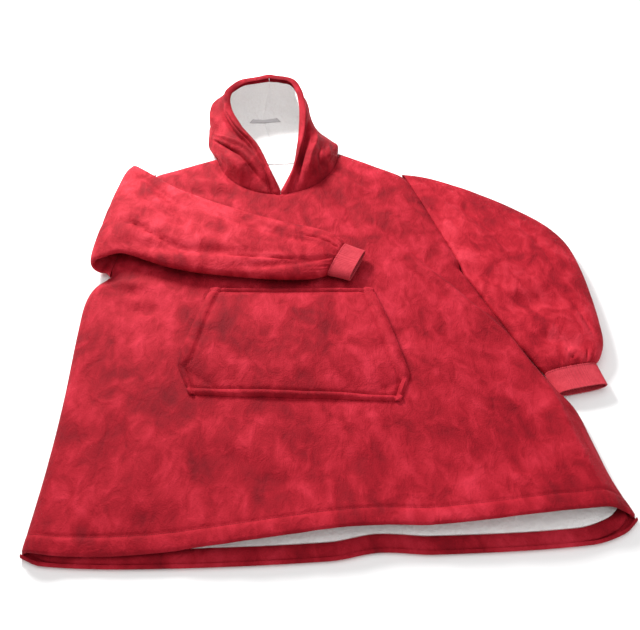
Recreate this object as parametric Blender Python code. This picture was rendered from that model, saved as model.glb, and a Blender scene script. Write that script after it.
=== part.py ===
"""Wearable blanket hoodie, laid on its back with one sleeve folded over the chest.

Metres, +Z up. The hem is towards -Y and the hood towards +Y. Left is -X, as seen from
the hem. Every cloth piece is a wall between two layers of the same surface, and a layer
is given by its depth under the outer face of the cloth.
"""
import math
from collections import namedtuple

import bmesh
import bpy
from mathutils import Vector

# Cloth, metres
SHELL = 0.003
LINING = 0.005
FACING = 0.003
CUFF_WALL = 0.0025
GAP = 0.0003
LINING_TOP = SHELL + GAP
LINING_BACK = LINING_TOP + LINING
FACING_BACK = LINING_TOP + FACING

# Where the middle of the whole garment lies, seen from the middle of the hem
CENTRE_X = 0.0625
CENTRE_Y = 0.6450

# Heights of the flat body
FRONT_HEIGHT = 0.030
SEAM_HEIGHT = SHELL + GAP
SIDE_ROLL = 0.045
SHOULDER_ROLL = 0.060
ARMHOLE_ROLL = 0.050
ARMHOLE_OPEN = 0.93

# Neck, an ellipse in plan
NECK_X = -0.043
NECK_Y = 1.074
NECK_HALF_WIDTH = 0.161
NECK_FRONT_DROP = 0.190
NECK_BACK_DROP = 0.035

# Lining and facing bands
HEM_FACING_ROW = 1
FRONT_LINING_ROW = 4
BACK_LINING_INSET = 0.014
BACK_LINING_END = 0.982

Edge = namedtuple("Edge", "x y")
Fold = namedtuple("Fold", "points half_width height")
Ring = namedtuple("Ring", "high_x high_y low_x low_y middle half tilt")
Section = namedtuple("Section", "rim side foot")
Crease = namedtuple("Crease", "along0 across0 along1 across1 half_width depth")

# Side seams from hem to underarm, and the two ends of each armhole
LEFT_SIDE = (
    Edge(-0.476, 0.037),
    Edge(-0.468, 0.180),
    Edge(-0.466, 0.321),
    Edge(-0.470, 0.480),
    Edge(-0.468, 0.570),
    Edge(-0.452, 0.612),
)
LEFT_UNDERARM = Edge(-0.425, 0.637)
LEFT_SHOULDER = Edge(-0.362, 1.009)
RIGHT_SIDE = (
    Edge(0.496, 0.020),
    Edge(0.482, 0.085),
    Edge(0.477, 0.148),
    Edge(0.470, 0.225),
    Edge(0.446, 0.282),
    Edge(0.418, 0.360),
    Edge(0.388, 0.460),
    Edge(0.367, 0.530),
)
RIGHT_SHOULDER = Edge(0.272, 0.958)

# One row of every panel runs through both underarms
UNDERARM_ROW = (LEFT_UNDERARM.y - LEFT_SIDE[0].y) / (LEFT_SHOULDER.y - LEFT_SIDE[0].y)
RIGHT_UNDERARM = Edge(0.344, RIGHT_SIDE[0].y
                      + UNDERARM_ROW * (RIGHT_SHOULDER.y - RIGHT_SIDE[0].y))

# Hem lines; the front hem lies a little up the body from the back hem
BACK_HEM = (
    Edge(-0.476, 0.037),
    Edge(-0.443, 0.022),
    Edge(-0.281, 0.005),
    Edge(0.000, -0.005),
    Edge(0.077, 0.002),
    Edge(0.165, -0.008),
    Edge(0.410, -0.012),
    Edge(0.470, 0.002),
    Edge(0.496, 0.020),
)
FRONT_HEM = (
    Edge(-0.476, 0.037),
    Edge(-0.425, 0.027),
    Edge(-0.304, 0.018),
    Edge(-0.137, 0.022),
    Edge(0.002, 0.029),
    Edge(0.080, 0.030),
    Edge(0.173, 0.023),
    Edge(0.332, 0.026),
    Edge(0.447, 0.030),
    Edge(0.496, 0.020),
)

# How far the front hem lies above or below the even height, across the hem
HEM_LIFT_REACH = 0.12
HEM_LIFT = (
    Edge(-0.476, 0.000),
    Edge(-0.400, -0.010),
    Edge(-0.280, -0.009),
    Edge(-0.137, -0.002),
    Edge(0.010, 0.002),
    Edge(0.100, -0.003),
    Edge(0.190, -0.001),
    Edge(0.330, 0.007),
    Edge(0.430, 0.003),
    Edge(0.496, 0.000),
)

# The largest folds of the front, as soft ridges and troughs along a path
FRONT_FOLDS = (
    Fold(((0.165, 0.715), (0.288, 0.543), (0.385, 0.385), (0.424, 0.262), (0.430, 0.150),
          (0.446, 0.040)), 0.026, 0.009),
    Fold(((0.200, 0.785), (0.300, 0.650), (0.335, 0.590)), 0.022, 0.007),
    Fold(((0.215, 0.700), (0.310, 0.560), (0.360, 0.460)), 0.016, -0.005),
    Fold(((0.200, 0.400), (0.270, 0.300), (0.330, 0.205)), 0.024, 0.005),
    Fold(((0.200, 0.260), (0.270, 0.165), (0.340, 0.090), (0.389, 0.045)), 0.024, 0.005),
    Fold(((-0.415, 0.045), (-0.424, 0.220), (-0.420, 0.430)), 0.020, -0.005),
    Fold(((-0.260, 0.230), (-0.150, 0.190), (-0.020, 0.110)), 0.030, 0.004),
    Fold(((-0.452, 0.640), (-0.400, 0.590), (-0.350, 0.560)), 0.018, -0.006),
)

# Columns of the front: fractions across, close together where the sides roll down
FRONT_COLUMNS = (0.0, 0.0035, 0.012, 0.026, 0.046, 0.074, 0.110, 0.150, 0.195, 0.240, 0.285,
                 0.312, 0.345, 0.385, 0.425, 0.4625, 0.500, 0.540, 0.580, 0.613, 0.640,
                 0.680, 0.720, 0.765, 0.810, 0.850, 0.888, 0.925, 0.954, 0.974, 0.988,
                 0.9965, 1.0)
NECK_START_COLUMN = 0.285
NECK_END_COLUMN = 0.640
FRONT_ROWS = (0.0, 0.033, 0.075, 0.120, 0.170, 0.220, 0.270, 0.325, 0.380, 0.435, 0.490,
              0.545, 0.590, UNDERARM_ROW, 0.640, 0.670, 0.710, 0.755, 0.800, 0.845, 0.885,
              0.920, 0.950, 0.975, 0.990, 1.0)
BACK_COLUMNS = (0.0, 0.03, 0.09, 0.16, 0.225, 0.285, 0.345, 0.4025, 0.4625, 0.5225, 0.580,
                0.640, 0.715, 0.80, 0.89, 0.96, 1.0)
BACK_ROWS = (0.0, 0.033, 0.10, 0.20, 0.32, 0.44, 0.545, 0.590, UNDERARM_ROW, 0.650, 0.70,
             0.80, 0.90, 1.0)

# Sleeve shape
SLEEVE_SIDES = 20
SLEEVE_SQUARE = 2.6
FOLD_RADIUS = 0.023
FOLD_HALF = 0.0128
FOLD_STEPS = 7
FOLD_HIGH = Edge(-0.398, 0.984)
FOLD_LOW = Edge(-0.437, 0.652)

# Upper stretch of the folded sleeve, from the fold to the cuff, lying on the chest
FOLDED_RINGS = (
    Ring(-0.352, 0.943, -0.398, 0.668, 0.0575, 0.0175, 180),
    Ring(-0.288, 0.886, -0.345, 0.648, 0.0530, 0.0200, 180),
    Ring(-0.227, 0.846, -0.300, 0.625, 0.0525, 0.0205, 180),
    Ring(-0.160, 0.805, -0.240, 0.603, 0.0525, 0.0205, 180),
    Ring(-0.092, 0.768, -0.178, 0.588, 0.0525, 0.0205, 180),
    Ring(-0.030, 0.740, -0.108, 0.574, 0.0520, 0.0200, 180),
    Ring(0.025, 0.718, -0.045, 0.565, 0.0515, 0.0195, 180),
    Ring(0.064, 0.699, 0.005, 0.564, 0.0505, 0.0185, 180),
    Ring(0.085, 0.679, 0.034, 0.570, 0.0490, 0.0165, 180),
    Ring(0.093, 0.664, 0.046, 0.576, 0.0470, 0.0140, 180),
)
# The sleeve that lies straight down beside the body
LAID_RINGS = (
    Ring(0.330, 0.936, 0.3560, 0.575, 0.0165, 0.0165, 0),
    Ring(0.392, 0.895, 0.3625, 0.552, 0.0185, 0.0185, 0),
    Ring(0.452, 0.848, 0.3705, 0.527, 0.0195, 0.0195, 0),
    Ring(0.512, 0.792, 0.3795, 0.498, 0.0200, 0.0200, 0),
    Ring(0.566, 0.728, 0.3885, 0.466, 0.0205, 0.0205, 0),
    Ring(0.598, 0.655, 0.3985, 0.433, 0.0205, 0.0205, 0),
    Ring(0.601, 0.570, 0.4075, 0.402, 0.0205, 0.0205, 0),
    Ring(0.594, 0.490, 0.4165, 0.374, 0.0205, 0.0205, 0),
    Ring(0.584, 0.420, 0.4260, 0.349, 0.0200, 0.0200, 0),
    Ring(0.573, 0.368, 0.4350, 0.327, 0.0190, 0.0190, 0),
    Ring(0.556, 0.335, 0.4420, 0.313, 0.0165, 0.0165, 0),
    Ring(0.542, 0.320, 0.4470, 0.306, 0.0140, 0.0140, 0),
)
CUFF_LENGTH = 0.048
CUFF_TAPER = 0.94
CUFF_HALF = 0.0115

# Creases of the sleeves: start and end as (along, across), both from 0 to 1
FOLDED_CREASES = (
    Crease(0.46, 0.05, 0.62, 0.50, 0.045, 0.0045),
    Crease(0.48, 0.95, 0.74, 0.66, 0.045, 0.0050),
    Crease(0.64, 0.10, 0.86, 0.42, 0.035, 0.0035),
    Crease(0.72, 0.95, 0.96, 0.60, 0.035, 0.0035),
)
LAID_CREASES = (
    Crease(0.10, 0.20, 0.45, 0.55, 0.050, 0.0045),
    Crease(0.12, 0.95, 0.42, 0.78, 0.040, 0.0045),
    Crease(0.48, 0.90, 0.66, 0.30, 0.040, 0.0050),
    Crease(0.70, 0.85, 0.86, 0.25, 0.035, 0.0045),
)

# Hood: opening edge, side and foot on the floor, from the neck to the crown
HOOD_LEFT = (
    Section((-0.064, 0.945, 0.058), (-0.150, 0.985, 0.070), (-0.216, 1.095, 0.016)),
    Section((-0.094, 1.030, 0.078), (-0.186, 1.060, 0.070), (-0.222, 1.130, 0.010)),
    Section((-0.140, 1.100, 0.094), (-0.216, 1.125, 0.060), (-0.212, 1.168, 0.008)),
    Section((-0.170, 1.172, 0.108), (-0.226, 1.185, 0.058), (-0.190, 1.208, 0.006)),
    Section((-0.168, 1.238, 0.119), (-0.208, 1.250, 0.068), (-0.160, 1.250, 0.009)),
    Section((-0.130, 1.274, 0.127), (-0.148, 1.290, 0.076), (-0.122, 1.284, 0.020)),
)
HOOD_RIGHT = (
    Section((-0.010, 0.945, 0.062), (0.060, 0.975, 0.068), (0.114, 1.092, 0.024)),
    Section((0.012, 1.025, 0.084), (0.072, 1.050, 0.064), (0.098, 1.124, 0.018)),
    Section((0.026, 1.094, 0.102), (0.062, 1.115, 0.062), (0.066, 1.164, 0.012)),
    Section((0.030, 1.155, 0.117), (0.050, 1.170, 0.062), (0.040, 1.208, 0.006)),
    Section((0.024, 1.220, 0.127), (0.036, 1.238, 0.070), (0.010, 1.250, 0.009)),
    Section((0.000, 1.264, 0.133), (0.004, 1.286, 0.076), (-0.022, 1.284, 0.020)),
)
HOOD_KEEL = (
    Edge(-0.045, 1.075),
    Edge(-0.053, 1.112),
    Edge(-0.062, 1.158),
    Edge(-0.071, 1.205),
    Edge(-0.077, 1.246),
    Edge(-0.081, 1.270),
)
CROWN = ((-0.056, 1.283, 0.133), (-0.060, 1.302, 0.080), (-0.074, 1.298, 0.030),
         (-0.082, 1.284, 0.006))
HOOD_ROWS = 15
HOOD_COLUMNS = (0.0, 0.035, 0.075, 0.13, 0.19, 0.25, 0.32, 0.39, 0.46, 0.53, 0.57, 0.60, 0.68,
                0.76, 0.84, 0.92, 1.0)
HOOD_FACING_COLUMN = 2
NECK_CORNER = 0.60
HOOD_SHRINK = 0.006
HOOD_STEP_UP = 0.0025
HOOD_EASE = 0.0009

# Pocket corners in plan, from the top left, and how far it stands off the front
POCKET_TOP_LEFT = Edge(-0.199, 0.566)
POCKET_TOP_RIGHT = Edge(0.136, 0.540)
POCKET_WIDE_LEFT = Edge(-0.256, 0.369)
POCKET_WIDE_RIGHT = Edge(0.176, 0.309)
POCKET_LOW_LEFT = Edge(-0.230, 0.300)
POCKET_LOW_RIGHT = Edge(0.150, 0.256)
POCKET_HAND_SHARE = 0.74
POCKET_ARCH = 0.013
POCKET_ACROSS = 16
POCKET_DOWN = 14

# Label in the hood, over these rows of the lining and as many columns each side of the seam
LABEL_ROWS = (10, 11)
LABEL_COLUMNS = 2
LABEL_THICK = 0.0010

# Colours, linear red, green and blue
FLEECE_RED = (0.42, 0.016, 0.03)
FLEECE_DARK = (0.30, 0.010, 0.02)
KNIT_RED = (0.62, 0.06, 0.075)
SHERPA_WHITE = (0.86, 0.84, 0.82)
LABEL_GREY = (0.70, 0.70, 0.72)


def clear_scene():
    """Remove every object of the open scene."""
    for item in list(bpy.data.objects):
        bpy.data.objects.remove(item, do_unlink=True)


def lerp(start, end, share):
    """Value between two numbers."""
    return start + (end - start) * share


def cubic(before, start, end, after, share):
    """Smooth value between start and end, with their neighbours' slopes."""
    slope0 = (end - before) / 2
    slope1 = (after - start) / 2
    square = share * share
    cube = square * share
    return ((2 * cube - 3 * square + 1) * start + (cube - 2 * square + share) * slope0
            + (3 * square - 2 * cube) * end + (cube - square) * slope1)


def through(values, share):
    """Smooth value at a share from 0 to 1 along evenly counted values."""
    last = len(values) - 1
    place = min(max(share, 0.0), 1.0) * last
    index = min(int(place), last - 1)
    before = values[index - 1] if index > 0 else 2 * values[0] - values[1]
    after = values[index + 2] if index + 2 <= last else 2 * values[last] - values[last - 1]
    return cubic(before, values[index], values[index + 1], after, place - index)


def along_table(rows, key, value, at):
    """Smooth value of a table of edge points at a key, through each of its points."""
    keys = [getattr(row, key) for row in rows]
    values = [getattr(row, value) for row in rows]
    if keys[0] > keys[-1]:
        keys.reverse()
        values.reverse()
    if at <= keys[0]:
        return values[0]
    for index in range(len(keys) - 1):
        if at <= keys[index + 1]:
            width = keys[index + 1] - keys[index]
            share = (at - keys[index]) / width
            before = values[index]
            after = values[index + 1]
            slope0 = table_slope(keys, values, index)
            slope1 = table_slope(keys, values, index + 1)
            square = share * share
            cube = square * share
            return ((2 * cube - 3 * square + 1) * before + (3 * square - 2 * cube) * after
                    + (cube - 2 * square + share) * slope0 * width
                    + (cube - square) * slope1 * width)
    return values[-1]


def table_slope(keys, values, index):
    """Slope of a table at one of its rows."""
    low = max(index - 1, 0)
    high = min(index + 1, len(keys) - 1)
    return (values[high] - values[low]) / (keys[high] - keys[low])


def roll(share):
    """Quarter circle from 0 at an edge to 1 where the cloth lies flat."""
    inside = 1 - min(max(share, 0.0), 1.0)
    return math.sqrt(1 - inside * inside)


def side_x(side, underarm, shoulder, y):
    """X of one outer edge at a height up the body: the side seam, then the armhole."""
    if y <= underarm.y:
        return along_table(side + (underarm,), "y", "x", y)
    share = (y - underarm.y) / (shoulder.y - underarm.y)
    return lerp(underarm.x, shoulder.x, min(share, 1.0))


def left_x(y):
    """X of the left edge."""
    return side_x(LEFT_SIDE, LEFT_UNDERARM, LEFT_SHOULDER, y)


def right_x(y):
    """X of the right edge."""
    return side_x(RIGHT_SIDE, RIGHT_UNDERARM, RIGHT_SHOULDER, y)


def shoulder_y(x):
    """Y of the shoulder seams, level behind the neck."""
    if x < NECK_X - NECK_HALF_WIDTH:
        share = (x - LEFT_SHOULDER.x) / (NECK_X - NECK_HALF_WIDTH - LEFT_SHOULDER.x)
        return lerp(LEFT_SHOULDER.y, NECK_Y, max(share, 0.0))
    if x > NECK_X + NECK_HALF_WIDTH:
        share = (x - RIGHT_SHOULDER.x) / (NECK_X + NECK_HALF_WIDTH - RIGHT_SHOULDER.x)
        return lerp(RIGHT_SHOULDER.y, NECK_Y, max(share, 0.0))
    return NECK_Y


def neck_point(angle, drop):
    """Point of the neck line in plan, from angle 0 at the right to pi at the left."""
    return NECK_X + NECK_HALF_WIDTH * math.cos(angle), NECK_Y - drop * math.sin(angle)


def path_distance(x, y, points):
    """Distance to a path of points, and the share of its length at the nearest place."""
    best = (9.0, 0.0)
    runs = len(points) - 1
    for index in range(runs):
        x0, y0 = points[index]
        x1, y1 = points[index + 1]
        length2 = (x1 - x0) ** 2 + (y1 - y0) ** 2
        share = ((x - x0) * (x1 - x0) + (y - y0) * (y1 - y0)) / length2
        share = min(max(share, 0.0), 1.0)
        distance = math.hypot(x - lerp(x0, x1, share), y - lerp(y0, y1, share))
        if distance < best[0]:
            best = (distance, (index + share) / runs)
    return best


def front_rise(x, y):
    """Height of the front over its even height, from the hem's waves and the folds."""
    rise = 0.0
    from_hem = y - along_table(FRONT_HEM, "x", "y", x)
    if from_hem < HEM_LIFT_REACH:
        fade = (1 - max(from_hem, 0.0) / HEM_LIFT_REACH) ** 2
        rise += along_table(HEM_LIFT, "x", "y", x) * fade
    for fold in FRONT_FOLDS:
        distance, share = path_distance(x, y, fold.points)
        ends = min(1.0, 4 * share + 0.35, 4 * (1 - share) + 0.35)
        rise += fold.height * ends * math.exp(-(distance / fold.half_width) ** 2)
    return rise


def open_share(y, underarm):
    """How far an outer edge stands open: none at the side seam, nearly all at the armhole."""
    return ARMHOLE_OPEN * roll((y - underarm.y) / ARMHOLE_ROLL)


def front_point(x, y, depth):
    """Point of the front at a depth under its outer face, for a place in plan."""
    from_left = (x - left_x(y)) / SIDE_ROLL
    from_right = (right_x(y) - x) / SIDE_ROLL
    from_shoulder = (shoulder_y(x) - y) / SHOULDER_ROLL
    left_open = open_share(y, LEFT_UNDERARM)
    right_open = open_share(y, RIGHT_UNDERARM)
    share = left_open + (1 - left_open) * roll(from_left)
    share *= right_open + (1 - right_open) * roll(from_right)
    share *= roll(from_shoulder)
    height = FRONT_HEIGHT + front_rise(x, y) - SEAM_HEIGHT - depth
    moved_x = x + depth * (max(1 - from_left, 0.0) - max(1 - from_right, 0.0))
    moved_y = y - depth * max(1 - from_shoulder, 0.0)
    return Vector((moved_x, moved_y, SEAM_HEIGHT + height * share))


def top_edge(across, drop):
    """Top edge of a body panel in plan: shoulder, neck line, shoulder."""
    if across <= NECK_START_COLUMN:
        x = lerp(LEFT_SHOULDER.x, NECK_X - NECK_HALF_WIDTH, across / NECK_START_COLUMN)
        return x, shoulder_y(x)
    if across >= NECK_END_COLUMN:
        share = (across - NECK_END_COLUMN) / (1 - NECK_END_COLUMN)
        x = lerp(NECK_X + NECK_HALF_WIDTH, RIGHT_SHOULDER.x, share)
        return x, shoulder_y(x)
    share = (across - NECK_START_COLUMN) / (NECK_END_COLUMN - NECK_START_COLUMN)
    return neck_point(math.pi * (1 - share), drop)


def panel_plan(across, up, hem, drop):
    """Place in plan inside a body panel's four edges."""
    low_x = lerp(hem[0].x, hem[-1].x, across)
    low_y = along_table(hem, "x", "y", low_x)
    top_x, top_y = top_edge(across, drop)
    left_y = lerp(hem[0].y, LEFT_SHOULDER.y, up)
    right_y = lerp(hem[-1].y, RIGHT_SHOULDER.y, up)
    edge_x = lerp(left_x(left_y), right_x(right_y), across)
    edge_y = lerp(left_y, right_y, across)
    corner_x = lerp(lerp(hem[0].x, hem[-1].x, across),
                    lerp(LEFT_SHOULDER.x, RIGHT_SHOULDER.x, across), up)
    corner_y = lerp(lerp(hem[0].y, hem[-1].y, across),
                    lerp(LEFT_SHOULDER.y, RIGHT_SHOULDER.y, across), up)
    x = lerp(low_x, top_x, up) + edge_x - corner_x
    y = lerp(low_y, top_y, up) + edge_y - corner_y
    return x, y


def front_layer(columns, rows, depth):
    """Grid of points of the front at one depth."""
    grid = []
    for up in rows:
        line = []
        for across in columns:
            x, y = panel_plan(across, up, FRONT_HEM, NECK_FRONT_DROP)
            line.append(front_point(x, y, depth))
        grid.append(line)
    return grid


def back_layer(columns, rows, height, inset=0.0):
    """Flat grid of points of the back at one height, drawn in from the sides and shoulders."""
    grid = []
    for up in rows:
        line = []
        for across in columns:
            x, y = panel_plan(across, up, BACK_HEM, NECK_BACK_DROP)
            x += inset * (1 - 2 * across)
            y -= inset * up if not is_neck(across) else 0.0
            line.append(Vector((x, y, height)))
        grid.append(line)
    return grid


def is_neck(across):
    """Tell whether a column ends at the neck line."""
    return NECK_START_COLUMN < across < NECK_END_COLUMN


def between_rows(first, second, distance):
    """Row of points a small distance from the first row towards the second."""
    line = []
    for start, end in zip(first, second):
        line.append(start + (end - start).normalized() * distance)
    return line


def material(name, colour, roughness):
    """Principled material of one plain colour."""
    made = bpy.data.materials.new(name)
    made.use_nodes = True
    shader = made.node_tree.nodes["Principled BSDF"]
    shader.inputs["Base Color"].default_value = (*colour, 1.0)
    shader.inputs["Roughness"].default_value = roughness
    shader.inputs["Metallic"].default_value = 0.0
    return made


def add_quad(faces, first, second, third, fourth):
    """Add a four-sided face as two triangles that share the first and third corner."""
    faces.append((first, second, third))
    faces.append((first, third, fourth))


def add_wall(name, outer, inner, colour, roughness=0.9, ring=False):
    """Closed wall between two grids of points with the same rows and columns."""
    rows = len(outer)
    columns = len(outer[0])
    shift = Vector((-CENTRE_X, -CENTRE_Y, 0))
    points = [point + shift for line in outer for point in line]
    points += [point + shift for line in inner for point in line]
    half = rows * columns

    def at(row, column, layer):
        return layer * half + row * columns + column % columns

    faces = []
    spans = columns if ring else columns - 1
    for row in range(rows - 1):
        for column in range(spans):
            add_quad(faces, at(row, column, 0), at(row, column + 1, 0),
                     at(row + 1, column + 1, 0), at(row + 1, column, 0))
            add_quad(faces, at(row, column, 1), at(row, column + 1, 1),
                     at(row + 1, column + 1, 1), at(row + 1, column, 1))
    for row in (0, rows - 1):
        for column in range(spans):
            add_quad(faces, at(row, column, 0), at(row, column + 1, 0),
                     at(row, column + 1, 1), at(row, column, 1))
    if not ring:
        for column in (0, columns - 1):
            for row in range(rows - 1):
                add_quad(faces, at(row, column, 0), at(row + 1, column, 0),
                         at(row + 1, column, 1), at(row, column, 1))
    mesh = bpy.data.meshes.new(name)
    mesh.from_pydata([tuple(point) for point in points], [], faces)
    face_out(mesh)
    item = bpy.data.objects.new(name, mesh)
    bpy.context.collection.objects.link(item)
    mesh.materials.append(material(name + "_cloth", colour, roughness))
    mesh.shade_smooth()
    mesh.set_sharp_from_angle(angle=math.radians(50))
    return item


def face_out(mesh):
    """Turn all faces outwards."""
    work = bmesh.new()
    work.from_mesh(mesh)
    bmesh.ops.recalc_face_normals(work, faces=work.faces)
    work.to_mesh(mesh)
    work.free()


def build_body():
    """Front and back panels, their linings and their hem facings."""
    outer = front_layer(FRONT_COLUMNS, FRONT_ROWS, 0.0)
    inner = front_layer(FRONT_COLUMNS, FRONT_ROWS, SHELL)
    add_wall("front_panel", outer, inner, FLEECE_RED)

    band_columns = FRONT_COLUMNS[4:-4]
    band_rows = FRONT_ROWS[:FRONT_LINING_ROW + 1]
    upper = front_layer(band_columns, band_rows, LINING_TOP)
    facing_low = front_layer(band_columns, band_rows, FACING_BACK)
    lining_low = front_layer(band_columns, band_rows, LINING_BACK)
    last = HEM_FACING_ROW + 1
    add_wall("front_hem_facing", upper[:last], facing_low[:last], FLEECE_DARK)
    for grid in (upper, lining_low):
        grid[HEM_FACING_ROW] = between_rows(grid[HEM_FACING_ROW], grid[last], GAP)
    add_wall("front_lining", upper[HEM_FACING_ROW:], lining_low[HEM_FACING_ROW:], SHERPA_WHITE)

    add_wall("back_panel", back_layer(BACK_COLUMNS, BACK_ROWS, SHELL),
             back_layer(BACK_COLUMNS, BACK_ROWS, 0.0), FLEECE_RED)
    rows = BACK_ROWS[:-1] + (BACK_LINING_END,)
    top = back_layer(BACK_COLUMNS, rows, FACING_BACK, BACK_LINING_INSET)
    low = back_layer(BACK_COLUMNS, rows, LINING_TOP, BACK_LINING_INSET)
    add_wall("back_hem_facing", top[:last], low[:last], FLEECE_DARK)
    top = back_layer(BACK_COLUMNS, rows, LINING_BACK, BACK_LINING_INSET)
    for grid in (top, low):
        grid[HEM_FACING_ROW] = between_rows(grid[HEM_FACING_ROW], grid[last], GAP)
    add_wall("back_lining", top[HEM_FACING_ROW:], low[HEM_FACING_ROW:], SHERPA_WHITE)


def crease_depth(creases, along, across):
    """Depth of the creases of a sleeve at a place on its upper side."""
    depth = 0.0
    for crease in creases:
        ends = ((crease.along0, crease.across0), (crease.along1, crease.across1))
        distance, share = path_distance(along, across, ends)
        fade = min(1.0, 3 * share + 0.3, 3 * (1 - share) + 0.3)
        depth += crease.depth * fade * math.exp(-(distance / crease.half_width) ** 2)
    return depth


def ring_points(ring, wall, creases, along):
    """Points round one flattened ring of a sleeve, drawn in by the wall."""
    high = Vector((ring.high_x, ring.high_y, 0))
    low = Vector((ring.low_x, ring.low_y, 0))
    middle = (high + low) / 2 + Vector((0, 0, ring.middle))
    across = (high - low) / 2
    reach = across.length - wall
    across.normalize()
    outward = Vector((across.y, -across.x, 0))
    tilt = math.radians(ring.tilt)
    thick = outward * math.sin(tilt) + Vector((0, 0, math.cos(tilt)))
    points = []
    for step in range(SLEEVE_SIDES):
        angle = math.tau * step / SLEEVE_SIDES
        flat = math.copysign(abs(math.cos(angle)) ** (2 / SLEEVE_SQUARE), math.cos(angle))
        rise = math.copysign(abs(math.sin(angle)) ** (2 / SLEEVE_SQUARE), math.sin(angle))
        point = middle + across * reach * flat + thick * (ring.half - wall) * rise
        on_top = thick.z * rise
        if on_top > 0:
            point.z -= on_top * crease_depth(creases, along, (1 - flat) / 2)
        points.append(point)
    return points


def sleeve_layer(rings, wall, creases=()):
    """Grid of rings of a sleeve at one depth."""
    last = len(rings) - 1
    return [ring_points(ring, wall, creases, index / last) for index, ring in enumerate(rings)]


def armhole_ring(underarm, shoulder, outward, tilt_half):
    """First ring of a sleeve, just outside its armhole."""
    line = Vector((shoulder.x - underarm.x, shoulder.y - underarm.y, 0)).normalized()
    step = Vector((line.y, -line.x, 0)) * GAP * outward
    return Ring(shoulder.x + step.x, shoulder.y + step.y, underarm.x + step.x,
                underarm.y + step.y, tilt_half, tilt_half, 0)


def folded_start():
    """Rings of the folded sleeve from its armhole round the fold to the chest side."""
    rings = [armhole_ring(LEFT_UNDERARM, LEFT_SHOULDER, -1, 0.014)]
    for step in range(FOLD_STEPS):
        tilt = 180 * step / (FOLD_STEPS - 1)
        swing = FOLD_RADIUS * math.sin(math.radians(tilt))
        lift = FOLD_RADIUS * (1 - math.cos(math.radians(tilt)))
        rings.append(Ring(FOLD_HIGH.x - swing, FOLD_HIGH.y, FOLD_LOW.x - swing, FOLD_LOW.y,
                          FOLD_HALF + lift, FOLD_HALF, tilt))
    return rings


def cuff_rings(last):
    """Rings of a cuff that carries on from the last ring of its sleeve."""
    high = Vector((last.high_x, last.high_y))
    low = Vector((last.low_x, last.low_y))
    middle = (high + low) / 2
    across = (high - low) / 2
    forward = Vector((across.y, -across.x)).normalized()
    if forward.y > 0:
        forward = -forward
    rings = []
    for share in (0.0, 0.5, 1.0):
        centre = middle + forward * (GAP + CUFF_LENGTH * share)
        reach = across * lerp(1.0, CUFF_TAPER, share)
        half = lerp(last.half, CUFF_HALF, min(2 * share, 1.0))
        rings.append(Ring(centre.x + reach.x, centre.y + reach.y, centre.x - reach.x,
                          centre.y - reach.y, last.middle, half, last.tilt))
    return rings


def build_sleeves():
    """Both sleeves and their cuffs."""
    folded = folded_start() + list(FOLDED_RINGS)
    add_wall("sleeve_folded", sleeve_layer(folded, 0.0, FOLDED_CREASES),
             sleeve_layer(folded, SHELL, FOLDED_CREASES), FLEECE_RED, ring=True)
    laid = [armhole_ring(RIGHT_UNDERARM, RIGHT_SHOULDER, 1, 0.0145)] + list(LAID_RINGS)
    add_wall("sleeve_laid", sleeve_layer(laid, 0.0, LAID_CREASES),
             sleeve_layer(laid, SHELL, LAID_CREASES), FLEECE_RED, ring=True)
    for name, rings in (("cuff_folded", cuff_rings(folded[-1])), ("cuff_laid", cuff_rings(laid[-1]))):
        add_wall(name, sleeve_layer(rings, 0.0), sleeve_layer(rings, CUFF_WALL), KNIT_RED,
                 ring=True)


def neck_line(angle, drop, columns):
    """Point on the straight runs between a panel's own points along its neck line."""
    place = NECK_END_COLUMN - angle / math.pi * (NECK_END_COLUMN - NECK_START_COLUMN)
    low = max(column for column in columns if column <= place + 1e-9)
    high = min(column for column in columns if column >= place - 1e-9)
    x0, y0 = top_edge(low, drop)
    x1, y1 = top_edge(high, drop)
    share = 0.0 if high == low else (place - low) / (high - low)
    return lerp(x0, x1, share), lerp(y0, y1, share)


def neck_section(side, share):
    """Point of the hood's lowest line: down the front neck line, then along the back one."""
    if share < NECK_CORNER:
        angle = math.pi / 2 * (1 - side * share / NECK_CORNER)
        x, y = neck_line(angle, NECK_FRONT_DROP, FRONT_COLUMNS)
        height = front_point(x, y, 0.0).z + HOOD_STEP_UP
    else:
        angle = math.pi / 2 * (1 - side * (1 - share) / (1 - NECK_CORNER))
        x, y = neck_line(angle, NECK_BACK_DROP, BACK_COLUMNS)
        y += 2 * GAP
        height = SEAM_HEIGHT + HOOD_STEP_UP if share == NECK_CORNER else 0.0
    x = lerp(x, NECK_X, HOOD_SHRINK)
    y = lerp(y, NECK_Y, HOOD_SHRINK)
    return Vector((x, y, height))


def hood_sections(side):
    """Sections of one half of the hood from the first above the neck to the crown."""
    table = HOOD_LEFT if side < 0 else HOOD_RIGHT
    rows = []
    for section, keel in zip(table, HOOD_KEEL):
        rows.append([Vector(section.rim), Vector(section.side), Vector(section.foot),
                     Vector((keel.x, keel.y, 0.0))])
    rows.append([Vector(point) for point in CROWN])
    return rows


def hood_point(side, sections, along, across):
    """Point of the hood's outer face."""
    lines = [neck_section(side, across)]
    for section in sections:
        lines.append(through(section, across))
    point = through(lines, along)
    point.x += side * GAP
    point.z = max(point.z, 0.0)
    return point


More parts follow.
